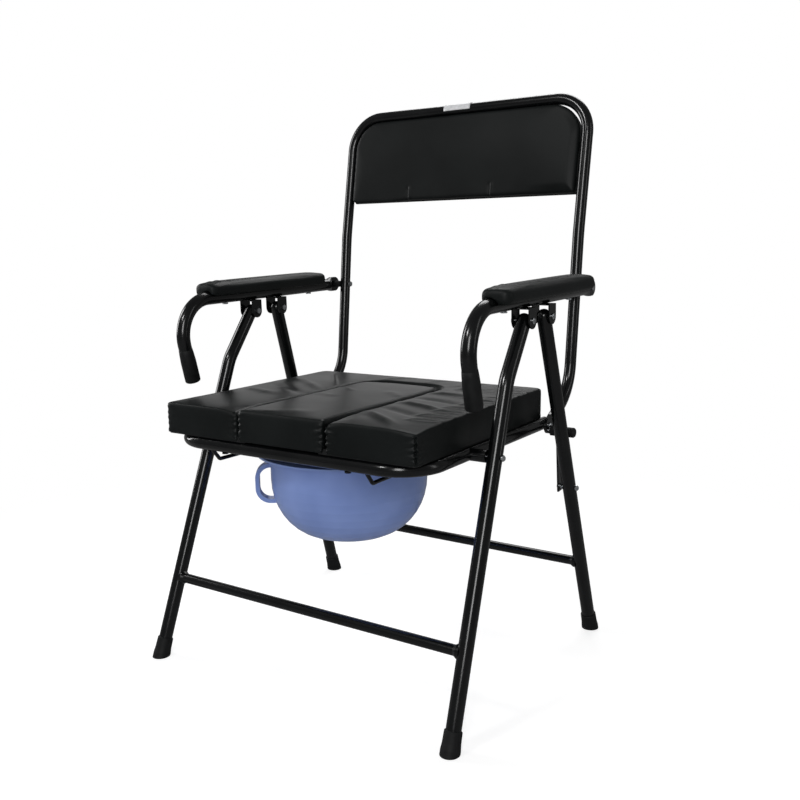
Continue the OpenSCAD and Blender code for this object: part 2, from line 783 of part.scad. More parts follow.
module centre_cushion() {
    color(vinyl_black) translate([0, 0, centre_base_z]) difference() {
        linear_extrude(cushion_top - centre_base_z)
            slot_outline(centre_w / 2, cushion_front_y, centre_rear_y, centre_r);
        translate([0, 0, -1]) linear_extrude(1 + centre_board_t + clear)
            slot_outline(centre_w / 2 - 8 + clear, cushion_front_y - 8 + clear, centre_rear_y - 8 + clear, centre_r - 8);
    }
}

centre_board_t = 5;

module centre_board() {
    color(plywood) translate([0, 0, centre_base_z]) linear_extrude(centre_board_t)
        slot_outline(centre_w / 2 - 8, cushion_front_y - 8, centre_rear_y - 8, centre_r - 8);
}

// ---- bucket --------------------------------------------------------------

band_r = bucket_r + 3;
band_h = 14;
bowl_r = bucket_r - bucket_floor_r;
bowl_top = bowl_r * 1.15;
bowl_steps = 10;

// half section of the bowl: flat floor, quarter round wall, upright side
function bowl_wall(floor_r, r, base, rise) = [for (i = [0 : bowl_steps])
    [floor_r + (r - floor_r) * sin(90 * i / bowl_steps), base + rise * (1 - cos(90 * i / bowl_steps))]];

module bowl_section() {
    inner_r = bucket_r - bucket_wall;
    polygon(concat([[0, bucket_base]], bowl_wall(bucket_floor_r, bucket_r, bucket_base, bowl_top),
        [[bucket_r, flange_z - band_h], [band_r, flange_z - band_h], [band_r, flange_z], [flange_r, flange_z],
         [flange_r, rim_top], [inner_r, rim_top], [inner_r, bucket_base + bowl_top]],
        [for (i = [bowl_steps - 1 : -1 : 0]) bowl_wall(bucket_floor_r, inner_r, bucket_base + bucket_wall,
            bowl_top - bucket_wall)[i]],
        [[0, bucket_base + bucket_wall]]));
}

module bucket_handle() {
    high = flange_z - band_h - 6;
    low = high - 58;
    root = bucket_r - bucket_wall;
    r = handle_reach * 0.85;
    out = bucket_r + handle_reach - strap_t / 2;
    intersection() {
        translate([0, strap_w / 2, 0]) rotate([90, 0, 0]) linear_extrude(strap_w) {
            translate([out - r, high - r]) rotate(0) intersection() {
                ring(r + strap_t / 2, strap_t);
                square(2 * r);
            }
            translate([out - r, low + r]) intersection() {
                ring(r + strap_t / 2, strap_t);
                translate([0, -2 * r]) square(2 * r);
            }
            translate([out - strap_t / 2, low + r]) square([strap_t, high - low - 2 * r]);
            translate([root, high - strap_t / 2]) square([out - r - root, strap_t]);
            translate([root - 14, low - strap_t / 2]) square([out - r - root + 14, strap_t]);
        }
        difference() {
            translate([0, 0, bucket_base]) cylinder(h = bucket_h, r = flange_r + 20);
            rotate_extrude() polygon(concat([[0, bucket_base]],
                [for (p = bowl_wall(bucket_floor_r, bucket_r - bucket_wall / 2, bucket_base, bowl_top)) p],
                [[bucket_r - bucket_wall / 2, rim_top], [0, rim_top]]));
        }
    }
}

module bucket() {
    color(lavender) translate([0, -bucket_y, 0]) {
        rotate_extrude() bowl_section();
        rotate([0, 0, 180 + handle_turn]) bucket_handle();
    }
}

// ---- legs ----------------------------------------------------------------

// tilts a leg drawn in its plane outward towards the floor, about its pivot
module splayed(legs) {
    translate([leg_plane, 0, legs[3]]) rotate([0, -legs[2], 0]) translate([0, 0, -legs[3]]) children();
}

// closed round end of a leg tube, at the armrest pivot
module leg_dome(at, up) {
    translate(at) rotate([0, 0, up]) rotate([0, 90, 0]) rotate_extrude() intersection() {
        ring(leg_r + swell, tube_wall + 2 * swell);
        translate([0, -overlap]) square([leg_d, leg_d]);
    }
}

front_tube_end = along(front_foot, front_set[1], foot_sole);
rear_tube_end = along(rear_foot, rear_set[1], foot_sole);

module front_leg() {
    color(steel_black) difference() {
        splayed(front_set) side_view(0) {
            tube_path([front_tube_end, front_bend, front_pivot], [0, front_bend_r, 0], leg_r, tube_wall);
            leg_dome(front_pivot, heading(front_bend, front_pivot));
        }
        rod_x(leg_plane - leg_d, leg_plane + leg_d, front_pivot, bolt_r + pivot_fit);
        rod_x(leg_plane - leg_d, leg_plane + 2 * leg_d, seat_pivot, bolt_r + pivot_fit);
    }
}

module rear_leg() {
    color(steel_black) difference() {
        splayed(rear_set) side_view(0) {
            tube_path([rear_tube_end, rear_pivot], [0, 0], leg_r, tube_wall);
            leg_dome(rear_pivot, rear_set[1]);
        }
        rod_x(leg_plane - leg_d, leg_plane + leg_d, rear_pivot, bolt_r + pivot_fit);
        rod_x(leg_plane - leg_d, leg_plane + 2 * leg_d, strut_pivot, bolt_r + pivot_fit);
    }
}

// plain rod in place of a leg, for fitting crossbars and feet to it
module leg_core(legs, r) {
    splayed(legs) side_view(0) translate(along(legs[0], legs[1], -20)) rotate([0, 0, legs[1]])
        rotate([0, 90, 0]) cylinder(h = front_bend[1], r = r);
}

module crossbar(at, reach, legs) {
    bead = 3;
    bead_l = 5;
    color(steel_black) difference() {
        union() {
            rod_x(-reach, reach, at, bar_r);
            both_sides() translate([reach - leg_r - bead_l, at[0], at[1]]) rotate([0, 90, 0])
                cylinder(h = bead_l, r1 = bar_r, r2 = bar_r + bead);
            both_sides() rod_x(reach - leg_r - 0.1, reach - leg_r + 5, at, bar_r + bead - 0.01);
        }
        rod_x(-reach - 1, reach + 1, at, bar_r - tube_wall);
        both_sides() leg_core(legs, leg_r + seat_gap);
        both_sides() rod_x(reach, reach + 30, at, 2 * bar_r);
    }
}

module front_crossbar() {
    crossbar([front_leg_y(front_bar_z), front_bar_z], front_leg_x(front_bar_z), front_set);
}

module rear_crossbar() {
    crossbar([rear_leg_y(rear_bar_z), rear_bar_z], rear_leg_x(rear_bar_z), rear_set);
}

foot_room = 4 * foot_base_r;

// rubber foot: a flared cup on the end of the leg, cut level with the floor
module foot(legs) {
    color(rubber_grey) intersection() {
        splayed(legs) side_view(0) translate(legs[0]) rotate([0, 0, legs[1]]) rotate([0, 90, 0]) difference() {
            rotate_extrude() polygon([[0, -12], [foot_base_r, -12], [foot_base_r, 5], [foot_collar_r + 0.4, 14],
                [foot_collar_r, foot_h - 1], [foot_collar_r - 0.8, foot_h], [0, foot_h]]);
            translate([0, 0, foot_sole - seat_gap]) cylinder(h = foot_h, r = leg_r + seat_gap);
        }
        translate([leg_plane - foot_room, legs[0][0] - foot_room, 0])
            cube([2 * foot_room + leg_d, 2 * foot_room, 2 * foot_h]);
    }
}

module seat_pivot_bolts() {
    x = front_leg_x(seat_z);
    color(zinc) both_sides() {
        rod_x(x - leg_r - 0.2, x + leg_r + 1, seat_pivot, bolt_r);
        rod_x(x + leg_r + 0.4, x + leg_r + 2.6, seat_pivot, 1.55 * bolt_r);
        translate([x + leg_r + 2.6, seat_pivot[0], seat_pivot[1]]) rotate([0, 90, 0])
            cylinder(h = 2, r1 = 1.55 * bolt_r, r2 = bolt_r);
    }
}

module strut_bolts() {
    x = rear_leg_x(strut_low_z);
    color(zinc) both_sides() {
        rod_x(x - leg_r - 0.5, x + leg_r + 1, strut_pivot, bolt_r);
        rod_x(strut_out + clear, x - leg_r - 0.5, strut_pivot, 1.6 * bolt_r);
        rod_x(x + leg_r + 0.5, x + leg_r + 2.6, strut_pivot, 1.55 * bolt_r);
        translate([x + leg_r + 2.6, strut_pivot[0], strut_pivot[1]]) rotate([0, 90, 0])
            cylinder(h = 2, r1 = 1.55 * bolt_r, r2 = bolt_r);
    }
}

// flat bar that hangs from the stop pin and holds the rear leg
strut_w = 15.6;
strut_tail = 8;

module strut() {
    l = norm(strut_pivot - pin);
    color(steel_black) side_view(strut_in) translate(pin) rotate([0, 0, heading(pin, strut_pivot)])
        linear_extrude(strut_t) difference() {
            union() {
                circle(strut_w / 2);
                translate([0, -strut_w / 2]) square([l + strut_tail, strut_w]);
            }
            circle(pin_r + pivot_fit);
            translate([l, 0]) circle(bolt_r - 1 + pivot_fit);
        }
}

module strut_rivets() {
    color(zinc) both_sides() {
        rod_x(strut_in - 1, strut_out, strut_pivot, bolt_r - 1);
        rod_x(strut_in - 2.2, strut_in - 0.1, strut_pivot, bolt_r + 1);
    }
}

// ---- nodes ---------------------------------------------------------------

module left() { place() children(); }
module right() { place() mirror([1, 0, 0]) children(); }

left() armrest_tube();  // armrest_tube_left
right() armrest_tube();  // armrest_tube_right
left() armrest_pad();  // armrest_pad_left
right() armrest_pad();  // armrest_pad_right
place() grip_tips();
place() front_leg_brackets();
place() rear_leg_brackets();
place() leg_bolts();
place() armrest_bolts();
place() armrest_washers();
place() pad_screws();
place() back_frame();
place() back_board();
place() back_pad();
place() panel_tabs();
place() panel_screws();
place() seat_hinge_bolts();
place() stop_pins();
place() stop_sleeves();
place() seat_frame();
place() seat_cross_tube();
place() seat_plugs();
place() seat_spacers();
left() rail();  // rail_left
right() rail();  // rail_right
place() seat_board();
place() seat_screws();
place() seat_cushion();
place() centre_cushion();
place() centre_board();
place() bucket();
left() front_leg();  // front_leg_left
right() front_leg();  // front_leg_right
place() front_crossbar();
left() foot(front_set);  // front_foot_left
right() foot(front_set);  // front_foot_right
place() seat_pivot_bolts();
left() rear_leg();  // rear_leg_left
right() rear_leg();  // rear_leg_right
place() rear_crossbar();
left() foot(rear_set);  // rear_foot_left
right() foot(rear_set);  // rear_foot_right
place() strut_bolts();
left() strut();  // strut_left
right() strut();  // strut_right
place() strut_rivets();
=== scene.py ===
"""Dressed model of a folding commode chair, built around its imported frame."""

import json
import math

import bmesh
import bpy
from bpy.props import FloatProperty, PointerProperty
from mathutils import Matrix, Vector, noise


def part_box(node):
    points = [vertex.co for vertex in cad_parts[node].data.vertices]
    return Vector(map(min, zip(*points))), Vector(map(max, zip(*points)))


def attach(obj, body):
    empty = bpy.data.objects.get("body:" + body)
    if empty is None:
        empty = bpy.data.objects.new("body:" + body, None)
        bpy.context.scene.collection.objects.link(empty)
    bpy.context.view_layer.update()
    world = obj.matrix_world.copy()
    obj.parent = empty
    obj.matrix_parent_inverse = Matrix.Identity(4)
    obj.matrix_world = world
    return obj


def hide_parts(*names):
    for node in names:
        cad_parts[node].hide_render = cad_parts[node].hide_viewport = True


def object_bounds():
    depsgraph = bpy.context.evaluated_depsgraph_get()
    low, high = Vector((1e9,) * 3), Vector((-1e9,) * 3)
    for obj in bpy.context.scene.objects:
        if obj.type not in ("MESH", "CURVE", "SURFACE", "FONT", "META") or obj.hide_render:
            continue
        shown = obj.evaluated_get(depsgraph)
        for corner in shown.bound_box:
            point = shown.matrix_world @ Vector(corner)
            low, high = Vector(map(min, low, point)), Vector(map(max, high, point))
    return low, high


bl_info = {
    "name": "Folding commode chair",
    "version": (1, 0, 0),
    "blender": (4, 5, 0),
    "location": "View3D > Sidebar > Commode Chair",
    "description": "Upholstery, finishes and a studio for a folding commode chair",
    "category": "Object",
}

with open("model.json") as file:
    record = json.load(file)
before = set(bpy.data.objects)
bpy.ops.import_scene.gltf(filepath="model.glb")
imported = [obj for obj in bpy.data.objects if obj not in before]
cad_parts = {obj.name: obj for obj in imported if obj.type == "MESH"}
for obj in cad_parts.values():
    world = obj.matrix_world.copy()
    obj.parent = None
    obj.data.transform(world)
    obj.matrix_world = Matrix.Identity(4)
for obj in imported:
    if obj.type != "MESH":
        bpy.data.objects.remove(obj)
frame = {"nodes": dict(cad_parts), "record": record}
CAD_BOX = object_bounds()
NODES = frame["nodes"]
MM = 0.001

# sizes that the pieces share, in metres
HELD_FOOT = 0.006     # the lowest part of a cover, which stays on its board
SEWN_RIM = 0.004      # how near its outline the top of a seat cover is held
COVER_BEVEL = 0.0025  # rounding of the seat covers before they swell
GROOVE_WIDE = 0.007   # how near the opening the seat covers turn down
SIDE_TAPER = 0.0036   # how much narrower each side of the seat cover is at its rear
TUBE_PLANE = 0.2645   # how far each armrest tube lies from the middle of the chair
TUBE_ROOM = 0.0114    # radius of the channel under each armrest pad
PLATE_BAR = 0.00955   # radius of the top bar, with its enamel
FLOOR_HALF = 8        # half the width of the studio floor

WORLD_LEVEL = 0.15    # strength of the light from all sides, also as a gloss sees it


# ---- materials -----------------------------------------------------------

def to_linear(hex_colour):
    """sRGB hex such as 1a1b1c to linear RGBA."""
    out = []
    for i in (0, 2, 4):
        c = int(hex_colour[i:i + 2], 16) / 255
        out.append(c / 12.92 if c <= 0.04045 else ((c + 0.055) / 1.055) ** 2.4)
    return (*out, 1.0)


def add_node(tree, kind, settings=None, values=None, links=None):
    """Adds a node, sets its properties and sockets, and links its inputs."""
    n = tree.nodes.new(kind)
    for key, value in (settings or {}).items():
        setattr(n, key, value)
    for key, value in (values or {}).items():
        n.inputs[key].default_value = value
    for key, source in (links or {}).items():
        tree.links.new(source, n.inputs[key])
    return n


def start_material(name, colour, **sockets):
    """A new material with one Principled shader; returns material, tree and shader."""
    m = bpy.data.materials.new(name)
    m.use_nodes = True
    tree = m.node_tree
    shader = tree.nodes["Principled BSDF"]
    shader.inputs["Base Color"].default_value = to_linear(colour)
    for key, value in sockets.items():
        shader.inputs[key.replace("_", " ")].default_value = value
    m.diffuse_color = to_linear(colour)
    return m, tree, shader


def object_space(tree):
    """Where a point lies on its own piece."""
    return add_node(tree, "ShaderNodeTexCoord").outputs["Object"]


def two_tone(tree, shader, factor, dark, light):
    """Base colour runs from dark to light over the middle third of a pattern."""
    ramp = add_node(tree, "ShaderNodeValToRGB", links={"Fac": factor})
    for stop, place, colour in zip(ramp.color_ramp.elements, (0.35, 0.65), (dark, light)):
        stop.position = place
        stop.color = to_linear(colour)
    tree.links.new(ramp.outputs["Color"], shader.inputs["Base Color"])


def spread(tree, shader, socket, factor, low, high):
    """A socket runs from low to high with a pattern."""
    values = {"To Min": low, "To Max": high}
    span = add_node(tree, "ShaderNodeMapRange", values=values, links={"Value": factor})
    tree.links.new(span.outputs["Result"], shader.inputs[socket])


def bump(tree, shader, height, strength, distance_mm, under=None):
    """Raises the surface by a pattern, over the bump that lies under it."""
    links = {"Height": height}
    if under is not None:
        links["Normal"] = under
    values = {"Strength": strength, "Distance": distance_mm * MM}
    n = add_node(tree, "ShaderNodeBump", values=values, links=links)
    tree.links.new(n.outputs["Normal"], shader.inputs["Normal"])
    return n.outputs["Normal"]


def per_metre(size_mm):
    """Texture scale for a feature of that size."""
    return 1000 / size_mm


def clouds(tree, where, size_mm, detail, **more):
    """Cloudy noise with features of that size."""
    values = {"Scale": per_metre(size_mm), "Detail": float(detail), **more}
    return add_node(tree, "ShaderNodeTexNoise", values=values, links={"Vector": where}).outputs["Fac"]


def maths(tree, operation, first, second):
    """A maths node on a socket and on a second socket or a number."""
    node = add_node(tree, "ShaderNodeMath", settings={"operation": operation}, links={0: first})
    if isinstance(second, float):
        node.inputs[1].default_value = second
    else:
        tree.links.new(second, node.inputs[1])
    return node.outputs[0]


def black_enamel():
    """Stoved enamel on drawn tube: deep black, wet gloss, the faint waviness of a dipped coat."""
    m, tree, shader = start_material("black_stoved_enamel", "08090a", Roughness=0.16, IOR=1.5)
    where = object_space(tree)
    wave = clouds(tree, where, 9, 2)
    dust = clouds(tree, where, 60, 4)
    two_tone(tree, shader, dust, "050607", "0b0c0d")
    spread(tree, shader, "Roughness", dust, 0.13, 0.24)
    bump(tree, shader, wave, 0.02, 0.5)
    return m


def black_vinyl(name="black_calendered_vinyl", tone=("0e1111", "151818"), rough=(0.33, 0.44), crease=0.3):
    """Calendered PVC on knit: fine pebbled grain, satin, soft folds, and a tone a little paler in broad
    patches.
    """
    m, tree, shader = start_material(name, tone[0], Roughness=rough[0], IOR=1.26)
    where = object_space(tree)
    # the real grain is about 0.6 mm; drawn twice as coarse so that it shows
    pebble = add_node(tree, "ShaderNodeTexVoronoi", settings={"feature": "SMOOTH_F1"},
                      values={"Scale": per_metre(1.3), "Smoothness": 0.6}, links={"Vector": where})
    folds = clouds(tree, where, 42, 2, Distortion=0.6)
    patch = clouds(tree, where, 90, 5)
    two_tone(tree, shader, patch, *tone)
    spread(tree, shader, "Roughness", patch, *rough)
    soft = bump(tree, shader, folds, crease, 1.0)
    bump(tree, shader, pebble.outputs["Distance"], 0.18, 0.1, soft)
    return m


def pad_vinyl():
    """The same vinyl drawn tight over the armrest pads: smoother and a little duller; its tone is painted
    paler than the seat's, which stands for light on the pads.
    """
    # a paler copy of the seat vinyl: painted light on the pads
    return black_vinyl("black_tight_vinyl_painted_paler", ("121515", "181b1b"), (0.42, 0.52), 0.15)


def back_vinyl():
    """The same vinyl over thin foam in the back panel: flat, soft sheen; its tone is painted darker than the
    seat's, which stands for shade on the back panel.
    """
    # a darker copy of the seat vinyl: painted shade on the back panel
    return black_vinyl("black_back_vinyl_painted_darker", ("0b0e0e", "111414"), (0.40, 0.50), 0.2)


def faced_board():
    """Black-faced board behind and under the upholstery: flat black, hardly any sheen."""
    m, tree, shader = start_material("black_faced_board", "0f1011", Roughness=0.6, IOR=1.45)
    fibre = clouds(tree, object_space(tree), 3, 5)
    two_tone(tree, shader, fibre, "0c0d0e", "151617")
    spread(tree, shader, "Roughness", fibre, 0.52, 0.68)
    bump(tree, shader, fibre, 0.1, 0.1)
    return m


def moulded_rubber():
    """Moulded rubber: matt, dusty, with the faint dimpling of its mould."""
    m, tree, shader = start_material("black_moulded_rubber", "0c0d0e", Roughness=0.62, IOR=1.34)
    where = object_space(tree)
    bloom = clouds(tree, where, 14, 6)
    grit = clouds(tree, where, 1.5, 2)
    two_tone(tree, shader, bloom, "0c0d0e", "151617")
    spread(tree, shader, "Roughness", bloom, 0.52, 0.72)
    bump(tree, shader, grit, 0.2, 0.1)
    return m


def zinc_plate():
    """Bright zinc-plated steel: cool grey metal, turned marks too fine to see singly, a little dulled."""
    m, tree, shader = start_material("bright_zinc_plate", "c9cccf", Metallic=1.0, Roughness=0.24)
    cloud = clouds(tree, object_space(tree), 4, 4)
    two_tone(tree, shader, cloud, "b4b8bc", "dadddf")
    spread(tree, shader, "Roughness", cloud, 0.16, 0.34)
    bump(tree, shader, cloud, 0.08, 0.1)
    return m


def lavender_polypropylene():
    """Injection-moulded polypropylene: even lavender blue, clean gloss, light bleeding in a little."""
    m, tree, shader = start_material("lavender_moulded_polypropylene", "7d93cc", Roughness=0.22, IOR=1.49,
                                     Subsurface_Weight=0.08)
    shader.inputs["Subsurface Radius"].default_value = (0.004, 0.004, 0.006)
    shader.inputs["Subsurface Scale"].default_value = 1.0
    where = object_space(tree)
    flow = clouds(tree, where, 70, 2)
    fine = clouds(tree, where, 6, 2)
    two_tone(tree, shader, flow, "788ec7", "8298d1")
    spread(tree, shader, "Roughness", flow, 0.18, 0.28)
    bump(tree, shader, fine, 0.03, 0.3)
    return m


def plate_film():
    """Satin polyester film, left bare: cool white with a faint sheen."""
    m, tree, shader = start_material("bare_satin_film", "dddee0", Roughness=0.4)
    haze = clouds(tree, object_space(tree), 5, 2)
    two_tone(tree, shader, haze, "d6d7d9", "e6e7e9")
    bump(tree, shader, haze, 0.05, 0.1)
    return m


def floor_paper():
    """Studio paper: seen directly it is plain white with the chair's soft shadow; a gloss hardly shows it."""
    m, tree, paper = start_material("white_studio_paper", "e8e8e8", Roughness=0.9, Specular_IOR_Level=0.1)
    where = object_space(tree)
    bump(tree, paper, clouds(tree, where, 3, 2), 0.02, 0.1)
    # near the chair it takes the shadow; further out it fades to an even white
    shaded = add_node(tree, "ShaderNodeBsdfDiffuse", values={"Color": (0.45, 0.45, 0.45, 1)})
    lift = add_node(tree, "ShaderNodeEmission", values={"Strength": 0.75})
    near = add_node(tree, "ShaderNodeAddShader", links={0: shaded.outputs[0], 1: lift.outputs[0]})
    far = add_node(tree, "ShaderNodeEmission", values={"Strength": 1.0})
    span = add_node(tree, "ShaderNodeVectorMath", settings={"operation": "LENGTH"}, links={0: where})
    fade = add_node(tree, "ShaderNodeMapRange", settings={"interpolation_type": "SMOOTHSTEP"},
                    values={"From Min": 0.55, "From Max": 1.3}, links={"Value": span.outputs["Value"]})
    white = add_node(tree, "ShaderNodeMixShader",
                     links={0: fade.outputs["Result"], 1: near.outputs[0], 2: far.outputs[0]})
    ray = add_node(tree, "ShaderNodeLightPath")
    seen = maths(tree, "MAXIMUM", ray.outputs["Is Camera Ray"], ray.outputs["Is Transmission Ray"])
    gloss = maths(tree, "MULTIPLY", ray.outputs["Is Glossy Ray"], 0.8)
    quiet = add_node(tree, "ShaderNodeEmission", values={"Strength": 0.12})
    soft = add_node(tree, "ShaderNodeMixShader", links={0: gloss, 1: paper.outputs[0], 2: quiet.outputs[0]})
    dim = add_node(tree, "ShaderNodeMixShader", links={0: seen, 1: soft.outputs[0], 2: white.outputs[0]})
    tree.links.new(dim.outputs[0], tree.nodes["Material Output"].inputs["Surface"])
    return m


MAKERS = {
    "enamel": black_enamel, "vinyl": black_vinyl, "pad_vinyl": pad_vinyl, "back_vinyl": back_vinyl,
    "rubber": moulded_rubber, "zinc": zinc_plate, "bucket": lavender_polypropylene, "board": faced_board,
    "plate": plate_film, "paper": floor_paper,
}
_made = {}


def material(key):
    """Each finish is made once."""
    if key not in _made:
        _made[key] = MAKERS[key]()
    return _made[key]


def paint(node, key):
    """Gives a frame node its finish."""
    obj = NODES[node]
    if not obj.material_slots:
        obj.data.materials.append(material(key))
    for s in obj.material_slots:
        s.material = material(key)


# ---- shapes --------------------------------------------------------------

def new_object(name, bm):
    """Turns an edit mesh into an object in the scene."""
    mesh = bpy.data.meshes.new(name)
    bm.to_mesh(mesh)
    bm.free()
    obj = bpy.data.objects.new(name, mesh)
    bpy.context.scene.collection.objects.link(obj)
    return obj


def smooth(obj):
    """Smooth shading all over."""
    for p in obj.data.polygons:
        p.use_smooth = True


def apply_modifiers(obj):
    """Bakes the modifiers into the mesh."""
    deps = bpy.context.evaluated_depsgraph_get()
    mesh = bpy.data.meshes.new_from_object(obj.evaluated_get(deps))
    old = obj.data
    obj.modifiers.clear()
    obj.data = mesh
    bpy.data.meshes.remove(old)


def prism(name, outline, low, high, bevel, steps):
    """A slab with that outline [(x, y)...] and rounded edges."""
    bm = bmesh.new()
    face = bm.faces.new([bm.verts.new((x, y, low)) for x, y in outline])
    if face.normal.z > 0:
        bmesh.ops.reverse_faces(bm, faces=[face])
    raised = bmesh.ops.extrude_face_region(bm, geom=[face])["geom"]
    verts = [v for v in raised if isinstance(v, bmesh.types.BMVert)]
    bmesh.ops.translate(bm, verts=verts, vec=(0, 0, high - low))
    bmesh.ops.recalc_face_normals(bm, faces=bm.faces[:])
    level = [e for e in bm.edges if abs(e.verts[0].co.z - e.verts[1].co.z) < 1e-6]
    bmesh.ops.bevel(bm, geom=level, offset=bevel, segments=steps, profile=0.5, affect="EDGES")
    return new_object(name, bm)


def arc(cx, cy, r, start, end, steps):
    """Points on an arc between two angles in degrees."""
    out = []
    for i in range(steps + 1):
        a = math.radians(start + (end - start) * i / steps)
        out.append((cx + r * math.cos(a), cy + r * math.sin(a)))
    return out


def remeshed(obj, voxel):
    """Gives the piece an even mesh of that spacing."""
    m = obj.modifiers.new("even", "REMESH")
    m.mode = "VOXEL"
    m.voxel_size = voxel
    apply_modifiers(obj)


def stuff(obj, pinned, cap, pressure=4.0, frames=20, stiff=30):
    """Swells a cover with cloth under pressure; the points for which pinned(co) holds stay in place."""
    # the share that is kept of what a point moves beyond the cap
    past_cap = 0.08
    scene = bpy.context.scene
    rest = [v.co.copy() for v in obj.data.vertices]
    hold = obj.vertex_groups.new(name="hold")
    hold.add([v.index for v in obj.data.vertices if pinned(v.co)], 1.0, "REPLACE")
    m = obj.modifiers.new("cover", "CLOTH")
    s = m.settings
    s.quality = 6
    s.mass = 0.4
    s.tension_stiffness = s.compression_stiffness = stiff
    s.shear_stiffness = stiff / 2
    s.bending_stiffness = 0.8
    s.use_pressure = True
    s.uniform_pressure_force = pressure
    s.vertex_group_mass = hold.name
    s.effector_weights.gravity = 0
    m.collision_settings.use_collision = False
    m.point_cache.frame_start, m.point_cache.frame_end = 1, frames
    for f in range(1, frames + 1):
        scene.frame_set(f)
    apply_modifiers(obj)
    scene.frame_set(1)
    for v, r in zip(obj.data.vertices, rest):
        d = v.co - r
        if d.length > cap:
            v.co = r + d.normalized() * (cap + (d.length - cap) * past_cap)
    obj.vertex_groups.clear()


def lathe(name, profile, place, axis, steps=40):
    """A round piece turned about an axis from [(radius, height)...]; a radius of 0 closes an end."""
    bm = bmesh.new()
    turn = Vector((0, 0, 1)).rotation_difference(axis).to_matrix()
    rings = []
    for r, h in profile:
        count = steps if r > 0 else 1
        rings.append([bm.verts.new(place + turn @ Vector((r * math.cos(2 * math.pi * i / steps),
                                                          r * math.sin(2 * math.pi * i / steps), h)))
                      for i in range(count)])
    for one, two in zip(rings, rings[1:]):
        for i in range(steps):
            j = (i + 1) % steps
            corners = [one[i % len(one)], one[j % len(one)], two[j % len(two)], two[i % len(two)]]
            bm.faces.new(list(dict.fromkeys(corners)))
    bmesh.ops.recalc_face_normals(bm, faces=bm.faces[:])
    return new_object(name, bm)


def refine(obj, inside, cuts=2):
    """Finer mesh where inside(co) holds, for detail smaller than the cover's own mesh."""
    bm = bmesh.new()
    bm.from_mesh(obj.data)
    edges = [e for e in bm.edges if inside(e.verts[0].co) and inside(e.verts[1].co)]
    bmesh.ops.subdivide_edges(bm, edges=edges, cuts=cuts, use_grid_fill=True)
    bm.to_mesh(obj.data)
    bm.free()


def cut_away(obj, tool):
    """Takes the tool's shape out of a piece, then throws the tool away."""
    m = obj.modifiers.new("cut", "BOOLEAN")
    m.operation, m.solver, m.object = "DIFFERENCE", "EXACT", tool
    apply_modifiers(obj)
    bpy.data.objects.remove(tool)


def subdivide(obj):
    """One level of smooth subdivision, baked."""
    m = obj.modifiers.new("fine", "SUBSURF")
    m.levels = m.render_levels = 1
    apply_modifiers(obj)


def dress(obj, body, key, stands_for=()):
    """Finishes a piece: smooth, its material, its body, and the frame nodes that it stands for."""
    smooth(obj)
    obj.data.materials.clear()
    obj.data.materials.append(material(key))
    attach(obj, body)
    if stands_for:
        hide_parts(*stands_for)


def ridge(p, a, b, width, height):
    """Height at p of a soft fold that runs from a to b, tapering at both ends."""
    past, fade = 0.15, 0.4
    ab = b - a
    t = (p - a).dot(ab) / ab.length_squared
    if t < -past or t > 1 + past:
        return 0.0
    across = (p - (a + ab * t)).length / width
    if across > 3:
        return 0.0
    ends = max(0.0, min(1.0, (t + past) / fade)) * max(0.0, min(1.0, (1 + past - t) / fade))
    return height * ends * math.exp(-across * across)


def nearest(outline, x, y):
    """Distance in the plan from a point to a closed outline, and the point on it that is nearest."""
    best = (1.0, x, y)
    for (ax, ay), (bx, by) in zip(outline, outline[1:] + outline[:1]):
        ux, uy = bx - ax, by - ay
        long = ux * ux + uy * uy
        t = 0.0 if long == 0 else max(0.0, min(1.0, ((x - ax) * ux + (y - ay) * uy) / long))
        best = min(best, (math.hypot(x - ax - t * ux, y - ay - t * uy), ax + t * ux, ay + t * uy))
    return best


def edge_gap(outline, x, y):
    """Distance in the plan from a point to a closed outline."""
    return nearest(outline, x, y)[0]


def hem(obj, outline, base):
    """Draws the lower rim of a cover out to its outline, so that it closes over the edge of its board."""
    for v in obj.data.vertices:
        c = v.co
        if c.z < base + HELD_FOOT:
            gap, x, y = nearest(outline, c.x, c.y)
            if gap < 0.003:
                c.x, c.y = x, y
            if c.z < base + 0.0012:
                c.z = base


def grain(x, y, z, size_mm):
    """Smooth repeatable noise, -1 to 1, with features of that size."""
    return noise.noise(Vector((x, y, z)) * (1000 / size_mm))


def ease(t):
    """0 to 1 with soft ends."""
    t = max(0.0, min(1.0, t))
    return t * t * (3 - 2 * t)


def slab(height, thickness, lean):
    """Height and thickness of a leaning slab from the depth and height of its box."""
    c, s = math.cos(lean), math.sin(lean)
    return (height * c - thickness * s) / (c * c - s * s), (thickness * c - height * s) / (c * c - s * s)


# ---- what a user may change ----------------------------------------------

class ChairCushions(bpy.types.PropertyGroup):
    swell: FloatProperty(
        name="Swell", description="How far the seat cover may swell",
        default=0.0045, min=0.001, max=0.02, unit="LENGTH")
    voxel: FloatProperty(
        name="Mesh size", description="Spacing of the cover's mesh",
        default=0.0045, min=0.003, max=0.01, unit="LENGTH")
    fold: FloatProperty(
        name="Fold height", description="Height of the folds on the seat",
        default=0.0038, min=0.0, max=0.006, unit="LENGTH")
    pucker: FloatProperty(
        name="Pucker height", description="Height of the puckers beside the upright seams",
        default=0.0034, min=0.0, max=0.004, unit="LENGTH")
    dip: FloatProperty(
        name="Seam dip", description="How far the top dips at the front ends of the seams",
        default=0.004, min=0.0, max=0.01, unit="LENGTH")


